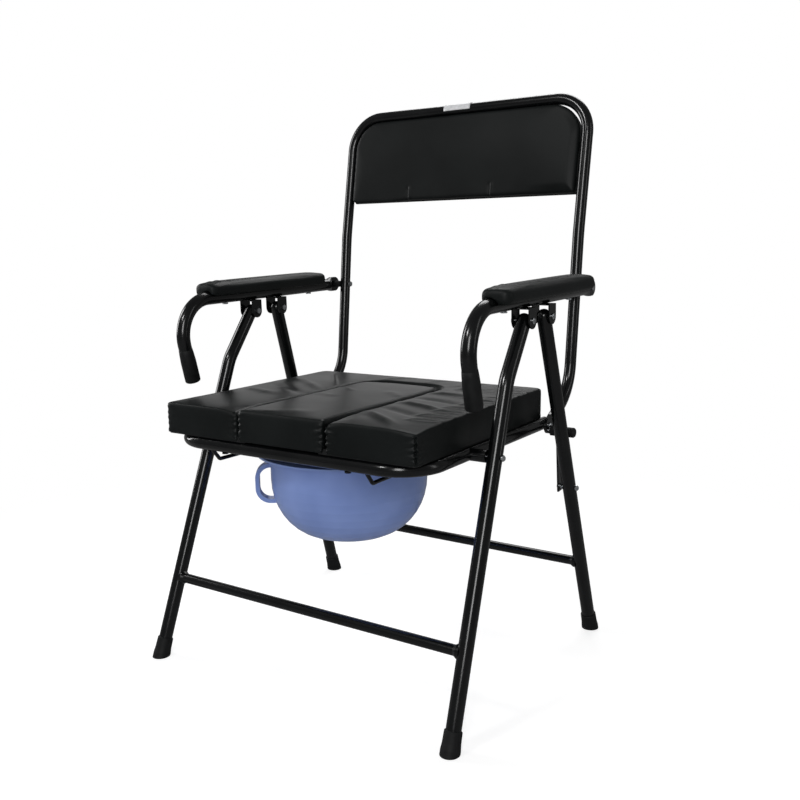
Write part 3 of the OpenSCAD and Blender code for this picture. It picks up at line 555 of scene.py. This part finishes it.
class ChairPads(bpy.types.PropertyGroup):
    back_swell: FloatProperty(
        name="Back swell", description="How far the back cover may swell",
        default=0.0035, min=0.0005, max=0.01, unit="LENGTH")
    back_roll: FloatProperty(
        name="Back roll", description="How far the back cover rolls back on the sitter's left",
        default=0.0034, min=0.0, max=0.006, unit="LENGTH")
    back_lean: FloatProperty(
        name="Back lean", description="Lean of the back panel",
        default=math.radians(9.7), subtype="ANGLE")
    arm_slope: FloatProperty(
        name="Armrest slope", description="Fall of the armrests towards the front",
        default=math.radians(1.2), subtype="ANGLE")
    arm_dome: FloatProperty(
        name="Armrest dome", description="How far the armrest pads' tops fall towards their edges",
        default=0.0022, min=0.0, max=0.008, unit="LENGTH")
    arm_skirt: FloatProperty(
        name="Armrest skirt", description="How far the armrest pads hang down beside the tube",
        default=0.0105, min=0.0, max=0.014, unit="LENGTH")


class ChairGrips(bpy.types.PropertyGroup):
    grip_long: FloatProperty(
        name="Sleeve length", description="Length of the rubber sleeves on the handles",
        default=0.052, min=0.02, max=0.056, unit="LENGTH")
    grip_rake: FloatProperty(
        name="Handle rake", description="Lean of the handles' straight ends",
        default=math.radians(13.7), subtype="ANGLE")


class ChairPlate(bpy.types.PropertyGroup):
    width: FloatProperty(
        name="Width", description="Width of the bare plate on the top bar",
        default=0.054, min=0.02, max=0.1, unit="LENGTH")
    place: FloatProperty(
        name="Place", description="How far the plate sits from the middle of the bar",
        default=-0.0095, min=-0.1, max=0.1, unit="LENGTH")
    wrap: FloatProperty(
        name="Wrap", description="Angle that the plate covers round the bar",
        default=math.radians(103), min=0.2, max=3.0, subtype="ANGLE")


class ChairStudio(bpy.types.PropertyGroup):
    azimuth: FloatProperty(
        name="Camera azimuth", description="Turn of the camera round the chair",
        default=math.radians(34.564), subtype="ANGLE")
    elevation: FloatProperty(
        name="Camera elevation", description="Height angle of the camera",
        default=math.radians(10.996), subtype="ANGLE")
    roll: FloatProperty(
        name="Camera roll", description="Tilt of the camera",
        default=math.radians(-0.993), subtype="ANGLE")
    distance: FloatProperty(
        name="Camera distance", description="Camera to the middle of the chair",
        default=1.5114, unit="LENGTH")
    lens: FloatProperty(
        name="Lens", description="Focal length on a 36 mm sensor, in millimetres",
        default=41.171)
    height: FloatProperty(
        name="Aim height", description="Height that the camera looks at",
        default=0.391, unit="LENGTH")


# ---- pieces --------------------------------------------------------------

def seat_sizes():
    """Boxes of the seat cushion and of the centre cushion in it: low and high corner of each."""
    low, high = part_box("seat_cushion")
    clow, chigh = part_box("centre_cushion")
    return low, high, clow, chigh


def slot_outline(half, front, rear, r):
    """The front edge and the round rear end of the centre cushion, anticlockwise."""
    return ([(-half, front), (half, front)] + arc(half - r, rear - r, r, 0, 90, 12)
            + arc(r - half, rear - r, r, 90, 180, 12))


def seat_seams(high, chigh, front):
    """Upright seams: x, y, the way that the cover faces there, and how strongly it puckers."""
    slot = chigh.x + 0.0007
    corner = high.x - 0.003
    return [(-slot, front, (0, -1), 0.75), (slot, front, (0, -1), 1.15),
            (corner, front + 0.002, (0.7, -0.7), 1.6), (-corner, front + 0.002, (-0.7, -0.7), 0.3)]


def near_seam(seams, reach=0.018):
    """Tells which points lie beside an upright seam."""
    return lambda c: any(abs(c.x - x) < reach and abs(c.y - y) < reach for x, y, _, _ in seams)


def pucker(p, seams, low, high, size):
    """Outward move at p for the short gathers that cross each upright seam."""
    gathers, lowest, step, seam_half = 5, 0.12, 0.19, 0.0016
    out = Vector((0, 0, 0))
    for x, y, face, strength in seams:
        across = abs((p.x - x) * -face[1] + (p.y - y) * face[0])
        depth = abs((p.x - x) * face[0] + (p.y - y) * face[1])
        if across > 0.022 or depth > 0.02:
            continue
        groove = -0.9 * math.exp(-(across / seam_half) ** 2)
        gather = 0.0
        for k in range(gathers):
            z = low + (high - low) * (lowest + step * k + 0.05 * grain(x, y, k, 200))
            slope = 0.9 * grain(k * 0.3, x, y, 300)
            near = (p.z - z - slope * across) / (0.0030 + 0.0008 * grain(y, k, x, 110))
            reach = 0.009 + 0.010 * abs(grain(k, z, x, 37))
            tall = 0.6 + 0.7 * abs(grain(x, k, z, 90))
            gather += tall * math.exp(-near * near) * math.exp(-(across / reach) ** 2)
        out += Vector((face[0], face[1], 0)) * size * strength * (groove + gather)
    return out


def fold_at(a, b, width, height):
    """A soft fold: its two ends in the plan, its width, and its height or its share of one."""
    return Vector((*a, 0)), Vector((*b, 0)), width, height


def seat_folds(slot_x, side_x):
    """Folds of the seat cover, given where its opening and its side lie."""
    folds = []
    # broad folds that fan out from the opening, crest and hollow in turn
    for k in range(6):
        y = -0.215 + 0.045 * k
        turn = 0.62 - 0.11 * k
        x = slot_x + 0.012
        long = 0.105 + 0.02 * grain(k, 1, 2, 700)
        end = (x + long * math.cos(turn), y + 0.03 - long * math.sin(turn))
        wide = 0.0085 + 0.002 * grain(k, 5, 1, 600)
        folds.append(fold_at((x, y + 0.03), end, wide, 1.0 if k % 2 == 0 else -0.7))
    # short gathers along the side seam on the sitter's left
    for k in range(9):
        y = -0.19 + 0.034 * k + 0.006 * grain(k, 3, 0, 500)
        x = side_x + 0.001
        folds.append(fold_at((x, y), (x - 0.045 - 0.012 * grain(0, k, 4, 700), y - 0.022), 0.0045, 0.75))
    # single folds on the sitter's right and round the rear of the opening
    folds += [fold_at(*f) for f in (
        ((-0.172, 0.092), (-0.090, -0.012), 0.004, 0.8), ((-0.206, -0.11), (-0.125, -0.132), 0.011, 0.6),
        ((-0.195, -0.048), (-0.098, -0.10), 0.010, -0.6), ((-0.20, 0.02), (-0.10, -0.05), 0.009, 0.6),
        ((0.10, 0.03), (0.19, 0.10), 0.009, 0.8), ((0.09, 0.06), (0.13, 0.125), 0.008, -0.6),
        ((-0.06, 0.085), (-0.02, 0.128), 0.007, 0.4), ((0.03, 0.088), (0.05, 0.128), 0.007, 0.4))]
    return folds


class CHAIR_OT_frame_finishes(bpy.types.Operator):
    """Give the tubes, fasteners, boards and rubber parts their finishes"""
    bl_idname = "chair.frame_finishes"
    bl_label = "Frame finishes"

    def execute(self, context):
        keys = {"black_tube": "enamel", "vinyl": "pad_vinyl", "cushion_vinyl": "vinyl", "rubber": "rubber",
                "zinc": "zinc", "board": "board", "bucket": "bucket"}
        for part in frame["record"]["subparts"]:
            paint(part["node"], keys[part["material_slot"]])
        # the seat's screws get the frame's black enamel in place of their zinc, which makes their heads dark
        paint("seat_screws", "enamel")
        return {"FINISHED"}


class CHAIR_OT_seat_cushion(bpy.types.Operator):
    """Make the U-shaped seat cushion"""
    bl_idname = "chair.seat_cushion"
    bl_label = "Seat cushion"

    def execute(self, context):
        props = context.scene.chair_cushions
        low, high, _, chigh = seat_sizes()
        inset = 0.0022
        x0 = high.x - inset
        x1 = x0 - SIDE_TAPER
        y0, y1 = low.y + inset, high.y - inset
        sx, sy = chigh.x + 0.0019, chigh.y + 0.0030
        # corners at the front, at the rear and in the opening
        r, rr, cr = 0.005, 0.014, 0.047
        outline = [(sx, y0), (x0 - r, y0)] + arc(x0 - r, y0 + r, r, -90, 0, 4)[1:]
        outline += arc(x1 - rr, y1 - rr, rr, 0, 90, 8) + arc(rr - x1, y1 - rr, rr, 90, 180, 8)
        outline += arc(r - x0, y0 + r, r, 180, 270, 4) + [(-sx, y0)]
        outline += list(reversed(arc(cr - sx, sy - cr, cr, 90, 180, 12)))
        outline += list(reversed(arc(sx - cr, sy - cr, cr, 0, 90, 12)))
        base, top = low.z + 0.0004, high.z + 0.001
        wall = 0.005
        obj = prism("seat_cushion_cover", outline, base, top, COVER_BEVEL, 2)
        remeshed(obj, props.voxel)

        def held(c):
            """The sewn edges, the underside and the walls round the centre cushion stay where they are."""
            if c.z < base + HELD_FOOT or (abs(c.x) < sx + wall and c.y < sy + wall):
                return True
            return c.z > top - SEWN_RIM and edge_gap(outline, c.x, c.y) < SEWN_RIM

        stuff(obj, held, cap=props.swell)
        subdivide(obj)
        hem(obj, outline, base)
        folds = seat_folds(sx, x1)
        flare_long = 0.012
        seams = seat_seams(high, chigh, y0)
        refine(obj, near_seam(seams))
        for v in obj.data.vertices:
            c = v.co
            # the walls of the opening draw together at the front
            if abs(c.x) < sx + 0.0015 and c.y < y0 + flare_long:
                c.x -= math.copysign(0.0008 * ease((y0 + flare_long - c.y) / 0.01), c.x)
            upper = ease((c.z - (high.z - 0.009)) / 0.008)
            if upper > 0:
                flat = Vector((c.x, c.y, 0))
                lift = sum(ridge(flat, a, b, w, props.fold * h) for a, b, w, h in folds)
                rim = 0.35 + 0.65 * ease(edge_gap(outline, c.x, c.y) / 0.012)
                # it dips at the front ends of the seams and at the front corner that puckers most
                for seam_x in (-sx, sx):
                    away = math.hypot(c.x - seam_x, (c.y - y0) * 0.6)
                    lift -= props.dip * math.exp(-(away / 0.022) ** 2) / rim
                corner = math.hypot(c.x - x0, c.y - y0)
                lift -= props.dip * 0.9 * math.exp(-(corner / 0.03) ** 2) / rim
                c.z += lift * upper * rim
                # it turns down into the opening round the centre cushion
                if abs(c.x) < sx + GROOVE_WIDE and c.y < sy + GROOVE_WIDE:
                    c.z -= 0.0042 * upper * (1 - ease(edge_gap(outline, c.x, c.y) / GROOVE_WIDE))
            side = 1 - upper
            if side > 0 and c.z > base + 0.004:
                c += pucker(c, seams, base, high.z, props.pucker) * side
                wave = 0.0006 * grain(c.x, c.y, c.z * 0.6, 45)
                c.x += math.copysign(wave, c.x) if abs(c.x) > x1 - 0.004 else 0.0
            c.z = max(c.z, base)
        dress(obj, "seat", "vinyl", stands_for=("seat_cushion",))
        return {"FINISHED"}


class CHAIR_OT_centre_cushion(bpy.types.Operator):
    """Make the loose centre cushion"""
    bl_idname = "chair.centre_cushion"
    bl_label = "Centre cushion"

    def execute(self, context):
        props = context.scene.chair_cushions
        low, high, clow, chigh = seat_sizes()
        inset = 0.0015
        half = chigh.x - 0.0006
        # it lies a little nearer the sitter's right side of its opening
        outline = [(x * (0.98 if x > 0 else 0.986), y)
                   for x, y in slot_outline(half, clow.y + inset, chigh.y - inset, 0.0445)]
        base, top = clow.z + 0.0008, chigh.z + 0.0015
        obj = prism("centre_cushion_cover", outline, base, top, COVER_BEVEL, 2)
        remeshed(obj, props.voxel)

        def held(c):
            """The underside, the two sides, the rounded rear and the sewn edges stay where they are."""
            rear = c.y > chigh.y - 0.05 and c.z < top - SEWN_RIM
            if c.z < base + HELD_FOOT or abs(c.x) > half - 0.006 or rear:
                return True
            return c.z > top - SEWN_RIM and edge_gap(outline, c.x, c.y) < SEWN_RIM

        stuff(obj, held, cap=props.swell * 0.7)
        subdivide(obj)
        hem(obj, outline, base)
        folds = [fold_at(*f) for f in (
            ((-0.075, -0.02), (-0.03, -0.05), 0.007, 0.5), ((-0.07, -0.09), (-0.02, -0.11), 0.010, 0.4),
            ((0.075, -0.06), (0.03, -0.03), 0.010, 0.35), ((-0.05, -0.265), (0.03, -0.235), 0.014, 0.4))]
        front, flare_long = outline[0][1], 0.012
        seams = seat_seams(high, chigh, front)[:2]
        refine(obj, near_seam(seams))
        for v in obj.data.vertices:
            c = v.co
            # it widens a little at the front
            if abs(c.x) > half - 0.0035 and c.y < front + flare_long:
                c.x += math.copysign(0.0006 * ease((front + flare_long - c.y) / 0.01), c.x)
            upper = ease((c.z - (chigh.z - 0.007)) / 0.007)
            if upper > 0:
                flat = Vector((c.x, c.y, 0))
                rim = ease(edge_gap(outline, c.x, c.y) / 0.015)
                c.z += sum(ridge(flat, a, b, w, props.fold * h) for a, b, w, h in folds) * upper * rim
                c.z -= 0.004 * ease((c.y - (chigh.y - 0.03)) / 0.028) * upper
                if c.y > front + 0.008:
                    c.z -= 0.0034 * upper * (1 - ease(edge_gap(outline, c.x, c.y) / GROOVE_WIDE))
            c.z = max(c.z, base)
            # the front face hangs down over the gap above the bucket, level with the cushion on either side
            if c.y < front + 0.0012:
                c.z -= (clow.z - low.z) * ease((base + 0.010 - c.z) / 0.008)
            if upper < 1 and c.z > low.z + 0.004:
                c += pucker(c, seams, low.z, chigh.z, props.pucker) * (1 - upper)
        dress(obj, "seat_centre", "vinyl", stands_for=("centre_cushion",))
        return {"FINISHED"}


class CHAIR_OT_back_panel(bpy.types.Operator):
    """Make the thin padded back panel"""
    bl_idname = "chair.back_panel"
    bl_label = "Back panel"

    def execute(self, context):
        props = context.scene.chair_pads
        low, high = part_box("back_pad")
        lean = props.back_lean
        tall, thick = slab(high.z - low.z, high.y - low.y, lean)
        middle = (low + high) / 2
        inset = 0.001
        x, half = high.x - inset, tall / 2 - inset
        crown = half + 0.0018
        r, foot_r = 0.053, 0.004
        outline = [(foot_r - x, -half), (x - foot_r, -half)]
        outline += arc(x - foot_r, foot_r - half, foot_r, -90, 0, 3)[1:]
        outline += arc(x - r, crown - r, r, 0, 90, 14) + arc(r - x, crown - r, r, 90, 180, 14)
        outline += arc(foot_r - x, foot_r - half, foot_r, 180, 270, 3)[:-1]
        bevel, voxel = 0.003, 0.004
        obj = prism("back_pad_cover", outline, -thick / 2 + 0.0004, thick / 2 - 0.001, bevel, 2)
        remeshed(obj, voxel)

        def held(c):
            """The rear face and the sewn edges stay where they are."""
            return c.z < -thick / 2 + 0.004 or edge_gap(outline, c.x, c.y) < 0.005

        stuff(obj, held, cap=props.back_swell, pressure=3.0)
        subdivide(obj)
        # two short darts rise from the lower edge: where each is and how long
        darts = [(-0.100, 0.027), (0.070, 0.026)]
        dart_half = 0.0028
        for v in obj.data.vertices:
            c = v.co
            face = ease((c.z + thick / 2 - 0.003) / 0.003)
            for dart, long in darts:
                near = (c.x - dart) / dart_half
                reach = ease((long - (c.y + half)) / 0.008)
                crest, hollow = 0.0016 * math.exp(-(near - 1.1) ** 2), 0.0022 * math.exp(-near * near)
                c.z += face * reach * (crest - hollow)
            edge = math.exp(-((c.y + half) / 0.012) ** 2)
            c.y -= edge * 0.0022 * ease((-0.09 - c.x) / 0.05) * ease((c.x + x) / 0.02)
            c.y += edge * 0.0006 * grain(c.x, 0, 0, 60)
            c.z += face * 0.0007 * grain(c.x, c.y, 0, 70)
            # the cover rolls back to its sewn edge on the sitter's left
            roll = (1 - ease(edge_gap(outline, c.x, c.y) / 0.017)) * ease((c.x - 0.13) / 0.06)
            c.z -= face * props.back_roll * roll * ease((half - c.y) / 0.04)
        # the panel's own front faces the sitter, tipped back by the lean
        si, co = math.sin(lean), math.cos(lean)
        turn = Matrix(((1, 0, 0), (0, si, -co), (0, co, si)))
        for v in obj.data.vertices:
            v.co = middle + turn @ v.co
        dress(obj, "back", "back_vinyl", stands_for=("back_pad",))
        return {"FINISHED"}


class CHAIR_OT_armrest_pads(bpy.types.Operator):
    """Make the two armrest pads"""
    bl_idname = "chair.armrest_pads"
    bl_label = "Armrest pads"

    def execute(self, context):
        props = context.scene.chair_pads
        for name in ("left", "right"):
            low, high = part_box("armrest_pad_" + name)
            slope = props.arm_slope
            middle = (low + high) / 2
            side = math.copysign(1, middle.x)
            long = (high.y - low.y) / math.cos(slope) - 0.0004
            thick = (high.z - low.z - long * math.sin(slope)) / math.cos(slope)
            half, wide = long / 2 - 0.001, (high.x - low.x) / 2 - 0.001
            # the front end reaches past the solid's, over the start of the handle's bend
            nose, r = half + 0.005, 0.0135
            outline = (arc(wide - r, half - r, r, 0, 90, 6) + arc(r - wide, half - r, r, 90, 180, 6)
                       + arc(r - wide, r - nose, r, 180, 270, 6) + arc(wide - r, r - nose, r, 270, 360, 6))
            # the pad hangs down on both sides of its tube, which runs in a channel underneath
            seat, top = -thick / 2, thick / 2
            base = seat - props.arm_skirt
            bevel, voxel, channel = 0.008, 0.0028, 0.3
            obj = prism("armrest_pad_cover_" + name, outline, base, top - 0.0005, bevel, 5)
            axis = Vector((side * TUBE_PLANE - middle.x, 0, seat - TUBE_ROOM))
            bore = [(0, -channel), (TUBE_ROOM, -channel), (TUBE_ROOM, channel), (0, channel)]
            cut_away(obj, lathe("channel", bore, axis, Vector((0, 1, 0))))
            remeshed(obj, voxel)
            stuff(obj, lambda c: c.z < seat + 0.001, cap=0.0014, pressure=3.0)
            subdivide(obj)
            creases = [fold_at((x, -half + y), (x2, -half + y2), w, h) for x, y, x2, y2, w, h in (
                (0.012, 0.028, -0.014, 0.036, 0.0035, 0.0009), (0.018, 0.042, -0.004, 0.05, 0.003, -0.0007),
                (0.004, 0.016, -0.018, 0.022, 0.003, 0.0007))]
            for v in obj.data.vertices:
                c = v.co
                share = max(0.0, (c.z - seat) / thick)
                across, along = abs(c.x) / wide, abs(c.y) / nose
                c.z += share * (0.0014 - props.arm_dome * (across ** 2 + 0.8 * along ** 6))
                if share > 0.7:
                    flat = Vector((c.x, c.y, 0))
                    c.z += sum(ridge(flat, a, b, w, h) for a, b, w, h in creases)
            turn = Matrix.Rotation(slope, 3, "X")
            for v in obj.data.vertices:
                v.co = middle + turn @ v.co
            dress(obj, "armrests", "pad_vinyl", stands_for=("armrest_pad_" + name,))
        return {"FINISHED"}


class CHAIR_OT_grip_sleeves(bpy.types.Operator):
    """Pull a smooth rubber sleeve over the end of each handle"""
    bl_idname = "chair.grip_sleeves"
    bl_label = "Grip sleeves"

    def execute(self, context):
        props = context.scene.chair_grips
        low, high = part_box("grip_tips")
        down = Vector((0, math.sin(props.grip_rake), -math.cos(props.grip_rake)))
        # the tips lean, so the middle of their box lies a little off their axis
        middle_y, middle_z = (low.y + high.y) / 2 + 0.00035, (low.z + high.z) / 2 - 0.00036
        for side, name in ((-1, "left"), (1, "right")):
            place = Vector((side * TUBE_PLANE, middle_y, middle_z))
            start = 0.006 - props.grip_long
            # from the tube's own radius through a taper to the full sleeve and its rounded end
            profile = [(0.01102, start), (0.0114, start + 0.0004), (0.012, start + 0.008),
                       (0.01275, start + 0.022), (0.01275, 0.0075), (0.0121, 0.0093), (0.0103, 0.0105),
                       (0, 0.0108)]
            obj = lathe("grip_sleeve_" + name, profile, place, down)
            dress(obj, "armrests", "rubber")
        return {"FINISHED"}


class CHAIR_OT_bare_plate(bpy.types.Operator):
    """Wrap the bare plate round the front of the top bar"""
    bl_idname = "chair.bare_plate"
    bl_label = "Bare plate"

    def execute(self, context):
        props = context.scene.chair_plate
        _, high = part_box("back_frame")
        axis = Vector((0, high.y - PLATE_BAR, high.z - PLATE_BAR))
        across, around = 12, 16
        inner, deep = PLATE_BAR + 0.0002, 0.0004
        # its middle faces forward and up; angles count from the rear, over the top
        facing = math.radians(136)
        bm = bmesh.new()
        rows = []
        for layer in (inner, inner + deep):
            for i in range(across + 1):
                x = props.place + props.width * (i / across - 0.5)
                row = []
                for k in range(around + 1):
                    a = facing + props.wrap * (k / around - 0.5)
                    row.append(bm.verts.new(axis + Vector((x, layer * math.cos(a), layer * math.sin(a)))))
                rows.append(row)
        n = across + 1
        for i in range(across):
            for k in range(around):
                one, two = rows[n + i], rows[n + i + 1]
                bm.faces.new((one[k], two[k], two[k + 1], one[k + 1]))
                one, two = rows[i], rows[i + 1]
                bm.faces.new((one[k + 1], two[k + 1], two[k], one[k]))
        for i in range(across):
            for k in (0, around):
                bm.faces.new((rows[i][k], rows[i + 1][k], rows[n + i + 1][k], rows[n + i][k]))
        for k in range(around):
            for i in (0, across):
                bm.faces.new((rows[i][k], rows[n + i][k], rows[n + i][k + 1], rows[i][k + 1]))
        bmesh.ops.recalc_face_normals(bm, faces=bm.faces[:])
        obj = new_object("bare_plate", bm)
        dress(obj, "back", "plate")
        return {"FINISHED"}


class CHAIR_OT_studio(bpy.types.Operator):
    """Lay the floor and set the lamps and the camera"""
    bl_idname = "chair.studio"
    bl_label = "Studio"

    def execute(self, context):
        scene = context.scene
        props = scene.chair_studio
        bm = bmesh.new()
        bmesh.ops.create_grid(bm, x_segments=1, y_segments=1, size=FLOOR_HALF)
        floor = new_object("studio_floor", bm)
        floor.location.z = -0.0005
        floor.data.materials.append(material("paper"))

        world = bpy.data.worlds.new("studio_world")
        scene.world = world
        world.use_nodes = True
        tree = world.node_tree
        back = tree.nodes["Background"]
        back.inputs["Color"].default_value = (1, 1, 1, 1)
        ray = add_node(tree, "ShaderNodeLightPath")
        seen = maths(tree, "MAXIMUM", ray.outputs["Is Camera Ray"], ray.outputs["Is Transmission Ray"])
        glossy = maths(tree, "MULTIPLY", ray.outputs["Is Glossy Ray"], WORLD_LEVEL)
        level = maths(tree, "MAXIMUM", maths(tree, "MAXIMUM", seen, glossy), WORLD_LEVEL)
        tree.links.new(level, back.inputs["Strength"])

        def lamp(name, place, aim, size, size_y, watts):
            light = bpy.data.lights.new(name, "AREA")
            light.shape = "RECTANGLE"
            light.size, light.size_y, light.energy = size, size_y, watts
            obj = bpy.data.objects.new(name, light)
            obj.location = place
            obj.rotation_euler = (Vector(aim) - Vector(place)).to_track_quat("-Z", "Y").to_euler()
            scene.collection.objects.link(obj)

        # name, place, aim, width, height and watts
        lamp("front_lamp", (1.3, -2.6, 1.5), (0, 0, 0.45), 0.8, 1.5, 33)
        lamp("left_lamp", (-2.5, -0.5, 1.3), (0, 0, 0.45), 0.6, 1.6, 24)
        lamp("right_lamp", (2.4, 0.5, 1.2), (0, 0, 0.5), 0.3, 1.6, 3)
        lamp("top_lamp", (-0.4, 1.6, 2.3), (0, 0, 0.45), 1.6, 1.2, 26)
        lamp("back_lamp", (-1.42, 2.06, 0.95), (0, 0, 0.43), 1.8, 0.6, 2.8)
        lamp("high_lamp", (-0.6, -2.2, 2.4), (0, 0, 0.45), 0.35, 0.35, 16)

        az, el, roll = props.azimuth, props.elevation, props.roll
        low, high = CAD_BOX
        aim_forward = 0.0210
        look = Vector((0, (low[1] + high[1]) / 2 - aim_forward, props.height))
        backward = Vector((math.sin(az) * math.cos(el), -math.cos(az) * math.cos(el), math.sin(el)))
        right = Vector((math.cos(az), math.sin(az), 0))
        up = backward.cross(right)
        r2 = right * math.cos(roll) + up * math.sin(roll)
        u2 = up * math.cos(roll) - right * math.sin(roll)
        data = bpy.data.cameras.new("studio_camera")
        data.sensor_width, data.lens = 36, props.lens
        data.shift_x, data.shift_y = 0.02902, 0.02359
        cam = bpy.data.objects.new("studio_camera", data)
        turn = Matrix((r2, u2, backward)).transposed().to_4x4()
        cam.matrix_world = Matrix.Translation(look + backward * props.distance) @ turn
        scene.collection.objects.link(cam)
        scene.camera = cam
        scene.view_settings.view_transform = "Standard"
        return {"FINISHED"}


class CHAIR_PT_panel(bpy.types.Panel):
    """Lists the steps that dress the chair"""
    bl_idname = "CHAIR_PT_panel"
    bl_label = "Commode Chair"
    bl_space_type = "VIEW_3D"
    bl_region_type = "UI"
    bl_category = "Commode Chair"

    def draw(self, context):
        col = self.layout.column()
        for op in OPERATORS:
            col.operator(op.bl_idname)
        for group in GROUPS:
            props = getattr(context.scene, group)
            for name in props.__annotations__:
                col.prop(props, name)


GROUPS = {"chair_cushions": ChairCushions, "chair_pads": ChairPads, "chair_grips": ChairGrips,
          "chair_plate": ChairPlate, "chair_studio": ChairStudio}
OPERATORS = (CHAIR_OT_frame_finishes, CHAIR_OT_seat_cushion, CHAIR_OT_centre_cushion, CHAIR_OT_back_panel,
             CHAIR_OT_armrest_pads, CHAIR_OT_grip_sleeves, CHAIR_OT_bare_plate, CHAIR_OT_studio)
CLASSES = (*GROUPS.values(), *OPERATORS, CHAIR_PT_panel)


def register():
    for c in CLASSES:
        bpy.utils.register_class(c)
    for name, group in GROUPS.items():
        setattr(bpy.types.Scene, name, PointerProperty(type=group))


def unregister():
    for name in GROUPS:
        delattr(bpy.types.Scene, name)
    for c in reversed(CLASSES):
        bpy.utils.unregister_class(c)


def main():
    register()
    for op in OPERATORS:
        getattr(bpy.ops.chair, op.bl_idname.split(".")[1])()


if __name__ == "__main__":
    main()
